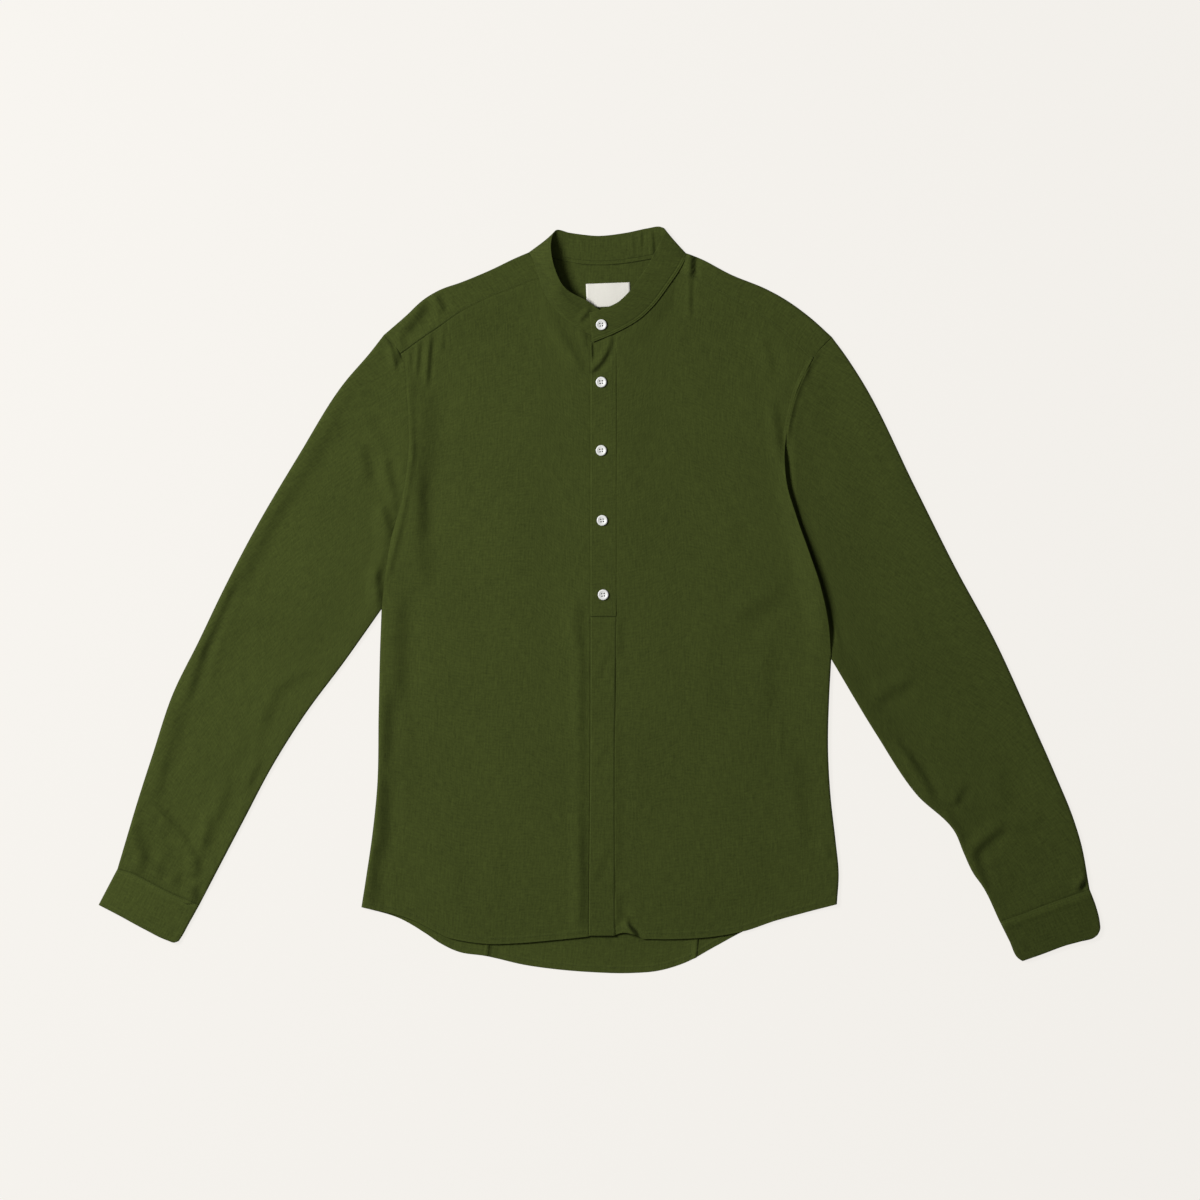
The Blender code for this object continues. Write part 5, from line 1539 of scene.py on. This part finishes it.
def label_grid():
    us, vs = np.meshgrid(np.linspace(-0.5, 0.5, 24), np.linspace(-0.5, 0.5, 20))
    x, y = us * LABEL_SIZE[0], vs * LABEL_SIZE[1]
    turned_x = LABEL_CENTRE[0] + x * math.cos(LABEL_TURN) - y * math.sin(LABEL_TURN)
    turned_y = LABEL_CENTRE[1] + x * math.sin(LABEL_TURN) + y * math.cos(LABEL_TURN)
    return np.stack([turned_x, turned_y, LABEL_TOP + 0.25 * np.cos(us * 9) * (0.5 + vs)], axis=-1)


LABEL_LOOK = linen("Cream tape", LABEL_CREAM, slub=0.03, blotch=0.02, weave=0.3)
cloth("blank_label", "neck_label", [label_grid()], LABEL_SHELL, 0.0, look=LABEL_LOOK)

# %% [markdown]
# ## Sewing
#
# A sewing machine leaves a row of short stitches, each sunk a little into the cloth. We follow a line at a
# set distance from an edge, and lay one small capsule for each stitch. All stitches of a piece are one mesh,
# since a few thousand separate objects would be slow.

# %% Stitches
STITCH_PITCH = 2.6
STITCH_LENGTH = 1.9
STITCH_RADIUS = 0.2
STITCH_SIDES = 6
STITCH_POINTS = 2 * STITCH_SIDES + 2
THREAD_OLIVE = (0.060, 0.078, 0.020)
THREAD_LOOK = linen("Olive thread", THREAD_OLIVE, slub=0.05, blotch=0.03, weave=0.2)
stitch_count = 0


def inside_edge(grid, edge, inset):
    """A line on a cloth at a set distance from one of its edges."""
    turned = from_edge(grid, edge)
    far = from_edge(edge_distance(grid, edge), edge)
    return np.array([read_along(inset, distances, row) for distances, row in zip(far, turned)])


def capsules(line, lift):
    """Points and faces of the stitches along one line."""
    line = line + np.array([0.0, 0.0, lift])
    far = np.concatenate([[0.0], np.cumsum(np.linalg.norm(np.diff(line, axis=0), axis=1))])
    starts = np.arange(STITCH_PITCH / 2, far[-1] - STITCH_PITCH, STITCH_PITCH)
    head, tail = read_along(starts, far, line), read_along(starts + STITCH_LENGTH, far, line)
    way = (tail - head) / np.linalg.norm(tail - head, axis=1)[:, None]
    side = np.stack([-way[:, 1], way[:, 0], np.zeros(len(way))], axis=-1)
    side /= np.linalg.norm(side, axis=1)[:, None]
    up = np.cross(way, side)
    rings = []
    for place, share in ((head, 0.15), (tail, 0.85)):
        middle = head + (tail - head) * share
        for turn in np.arange(STITCH_SIDES) * math.pi * 2 / STITCH_SIDES:
            rings.append(middle + (side * math.cos(turn) + up * math.sin(turn)) * STITCH_RADIUS)
    points = np.stack([head - up * STITCH_RADIUS, tail - up * STITCH_RADIUS, *rings], axis=1)
    first, second = 2 + np.arange(STITCH_SIDES), 2 + STITCH_SIDES + np.arange(STITCH_SIDES)
    beside, beyond = np.roll(first, -1), np.roll(second, -1)
    walls = [*zip(first, beside, beyond, second)]
    tips = [(0, b, a) for a, b in zip(first, beside)] + [(1, a, b) for a, b in zip(second, beyond)]
    return points, walls + tips


def sew(name, lines, lift=0.12):
    """One mesh with all the stitches along some lines."""
    global stitch_count
    all_points, all_faces, first = [], [], 0
    for line in lines:
        points, pattern = capsules(line, lift)
        for number in range(len(points)):
            start = first + number * STITCH_POINTS
            all_faces += [tuple(int(start + i) for i in face) for face in pattern]
        all_points.append(points.reshape(-1, 3) * MM)
        first += len(points) * STITCH_POINTS
        stitch_count += len(points)
    mesh = bpy.data.meshes.new(name)
    mesh.from_pydata(np.concatenate(all_points).tolist(), [], all_faces)
    mesh.shade_smooth()
    mesh.materials.append(THREAD_LOOK)
    belongs(in_scene(name, mesh))


# %% Rows of stitches
HEM_STITCH = 6.0
SHOULDER_STITCH = 1.8
FELL_STITCH = FELL - 0.8
PLACKET_STITCH = 4.9
EDGE_STITCH = 1.6
CUFF_STITCHES = (("bottom", 1.2), ("bottom", 4.0), ("top", 2.5))
for side, grid in fronts.items():
    sew(f"{side}_front_stitches", [inside_edge(grid, "bottom", HEM_STITCH)])
    sew(f"{side}_shoulder_stitches", [inside_edge(shoulders[side], "top", SHOULDER_STITCH)])
for name, grid in backs.items():
    felled = [inside_edge(grid, edge, FELL_STITCH) for edge in felled_edges(name)]
    sew(f"{name}_stitches", [inside_edge(grid, "bottom", HEM_STITCH), *felled], lift=SHELL + 0.1)
placket_rows = (("right", PLACKET_STITCH), ("left", EDGE_STITCH))
sew("placket_stitches", [inside_edge(placket, *row) for row in placket_rows])
strip_rows = (("left", EDGE_STITCH), ("right", EDGE_STITCH), ("bottom", HEM_STITCH))
sew("strip_stitches", [inside_edge(centre_strip, *row) for row in strip_rows])
for side, grid in cuffs.items():
    rows = [inside_edge(grid, *row) for row in CUFF_STITCHES]
    sew(f"{side}_cuff_stitches", [row[row[:, 2] > MIDDLE] for row in rows])
print("Stitches:", stitch_count)

# %% [markdown]
# ## Buttons
#
# A shirt button is turned from one blank, with a raised rim, a dish and four holes. We spin half of its
# section, drill the holes with one Boolean, and set a copy at each place on the placket, band and cuffs.

# %% Buttons
BUTTON_ACROSS = 11.4
BUTTON_THICK = 2.4
BUTTON_HOLE = 1.5
BUTTON_HOLE_APART = 2.6
BUTTON_SECTION = (
    # share of the radius, share of the thickness
    (0.0, 0.66), (0.30, 0.67), (0.52, 0.72), (0.64, 0.86), (0.72, 0.98), (0.82, 1.0), (0.92, 0.96),
    (0.98, 0.82), (1.0, 0.6), (0.97, 0.36), (0.86, 0.12), (0.70, 0.0), (0.0, 0.0),
)
BUTTONS = {
    "front_button_2": ((1.5, 230.6), "button_2"),
    "front_button_3": ((1.5, 158.2), "button_3"),
    "front_button_4": ((2.5, 84.1), "button_4"),
    "front_button_5": ((3.6, 5.4), "button_5"),
}
BAND_BUTTON = (1.6, 291.4)
CUFF_BUTTON_AT = (0.32, 0.55)
CUFF_BUTTON_BACK = 2.4
BUTTON_GAP = 0.3  # air between a button and its cloth
BAND_BUTTON_GAP = 0.6
BUTTON_TURN = math.radians(7.0)


def pearl(name):
    """Polished off-white, with faint clouds."""
    nodes = Nodes(name)
    place = nodes.add("TexCoord").outputs["Object"]
    cloud = nodes.add("TexNoise", Vector=place, Scale=220.0)
    mix = nodes.add("Mix")
    mix.data_type = "RGBA"
    mix.inputs["A"].default_value = (0.72, 0.72, 0.70, 1.0)
    mix.inputs["B"].default_value = (0.84, 0.84, 0.82, 1.0)
    nodes.put(cloud.outputs["Fac"], mix.inputs["Factor"])
    nodes.put(mix.outputs["Result"], nodes.shader.inputs["Base Color"])
    nodes.shader.inputs["Roughness"].default_value = 0.32
    return nodes.material


def mesh_of(work, name):
    """The mesh that was worked on."""
    mesh = bpy.data.meshes.new(name)
    work.to_mesh(mesh)
    work.free()
    return mesh


def turned_button():
    """The mesh of one button, its back at the origin, with its holes drilled."""
    work = bmesh.new()
    section = [(r * BUTTON_ACROSS / 2 * MM, 0.0, h * BUTTON_THICK * MM) for r, h in BUTTON_SECTION]
    points = [work.verts.new(p) for p in section]
    edges = [work.edges.new(pair) for pair in zip(points[:-1], points[1:])]
    whole = {"cent": (0, 0, 0), "axis": (0, 0, 1), "angle": 2 * math.pi}
    bmesh.ops.spin(work, geom=points + edges, steps=40, use_merge=True, **whole)
    bmesh.ops.remove_doubles(work, verts=work.verts, dist=1e-6)
    bmesh.ops.recalc_face_normals(work, faces=work.faces)
    return mesh_of(work, "Button")


def hole_drill():
    """Four pegs that stand where the holes are wanted."""
    work = bmesh.new()
    radius = BUTTON_HOLE / 2 * MM
    peg = {"segments": 16, "radius1": radius, "radius2": radius, "depth": 4 * BUTTON_THICK * MM}
    for across, along in ((-0.5, -0.5), (-0.5, 0.5), (0.5, -0.5), (0.5, 0.5)):
        made = bmesh.ops.create_cone(work, cap_ends=True, **peg)
        shift = (across * BUTTON_HOLE_APART * MM, along * BUTTON_HOLE_APART * MM, 0.0)
        bmesh.ops.translate(work, verts=made["verts"], vec=shift)
    return mesh_of(work, "Drill")


def drilled(mesh):
    """The button's mesh with the holes cut, and no modifier left to run."""
    blank, drill = in_scene("Blank", mesh), in_scene("Drill", hole_drill())
    cut = blank.modifiers.new("Holes", "BOOLEAN")
    cut.operation = "DIFFERENCE"
    cut.object = drill
    now = bpy.context.evaluated_depsgraph_get()
    done = bpy.data.meshes.new_from_object(blank.evaluated_get(now))
    for made in (blank, drill):
        bpy.data.objects.remove(made, do_unlink=True)
    done.shade_smooth()
    done.set_sharp_from_angle(angle=math.radians(50))
    return done


BUTTON_MESH = drilled(turned_button())
BUTTON_MESH.materials.clear()
BUTTON_MESH.materials.append(pearl("Off-white button"))


def place_button(name, node, place, tilt=0.0):
    made = in_scene(name, BUTTON_MESH.copy())
    made.location = [c * MM for c in place]
    made.rotation_euler = (tilt, 0.0, BUTTON_TURN)
    belongs(made, node)


# %% Buttons in place
def band_button_place():
    """Where the band's button sits: on the band's upper end, tilted as the band is."""
    first, last = NECK_NAMES.index("placket seam"), NECK_NAMES.index("upper end")
    both = NECK_POINTS[[first, last]].mean(axis=0)
    foot, head = both[:3], both[3:]
    lean = math.atan2(head[2] - foot[2], head[1] - foot[1])
    height = (foot[2] + head[2]) / 2 + (BAND_BUTTON[1] - (foot[1] + head[1]) / 2) * math.tan(lean)
    return (*BAND_BUTTON, height + BAND_BUTTON_GAP), lean


place, lean = band_button_place()
place_button("front_button_1", "button_1", place, lean)
for name, ((across, up), node) in BUTTONS.items():
    place_button(name, node, (across, up, PLACKET_TOP + BUTTON_GAP))
for side in SIDES:
    across, up = cuff_surface(side)(np.array(CUFF_BUTTON_AT[0]), np.array(CUFF_BUTTON_AT[1]))
    place_button(f"{side}_cuff_button", f"cuff_button_{side}", (across, up, CUFF_BUTTON_BACK), math.pi)
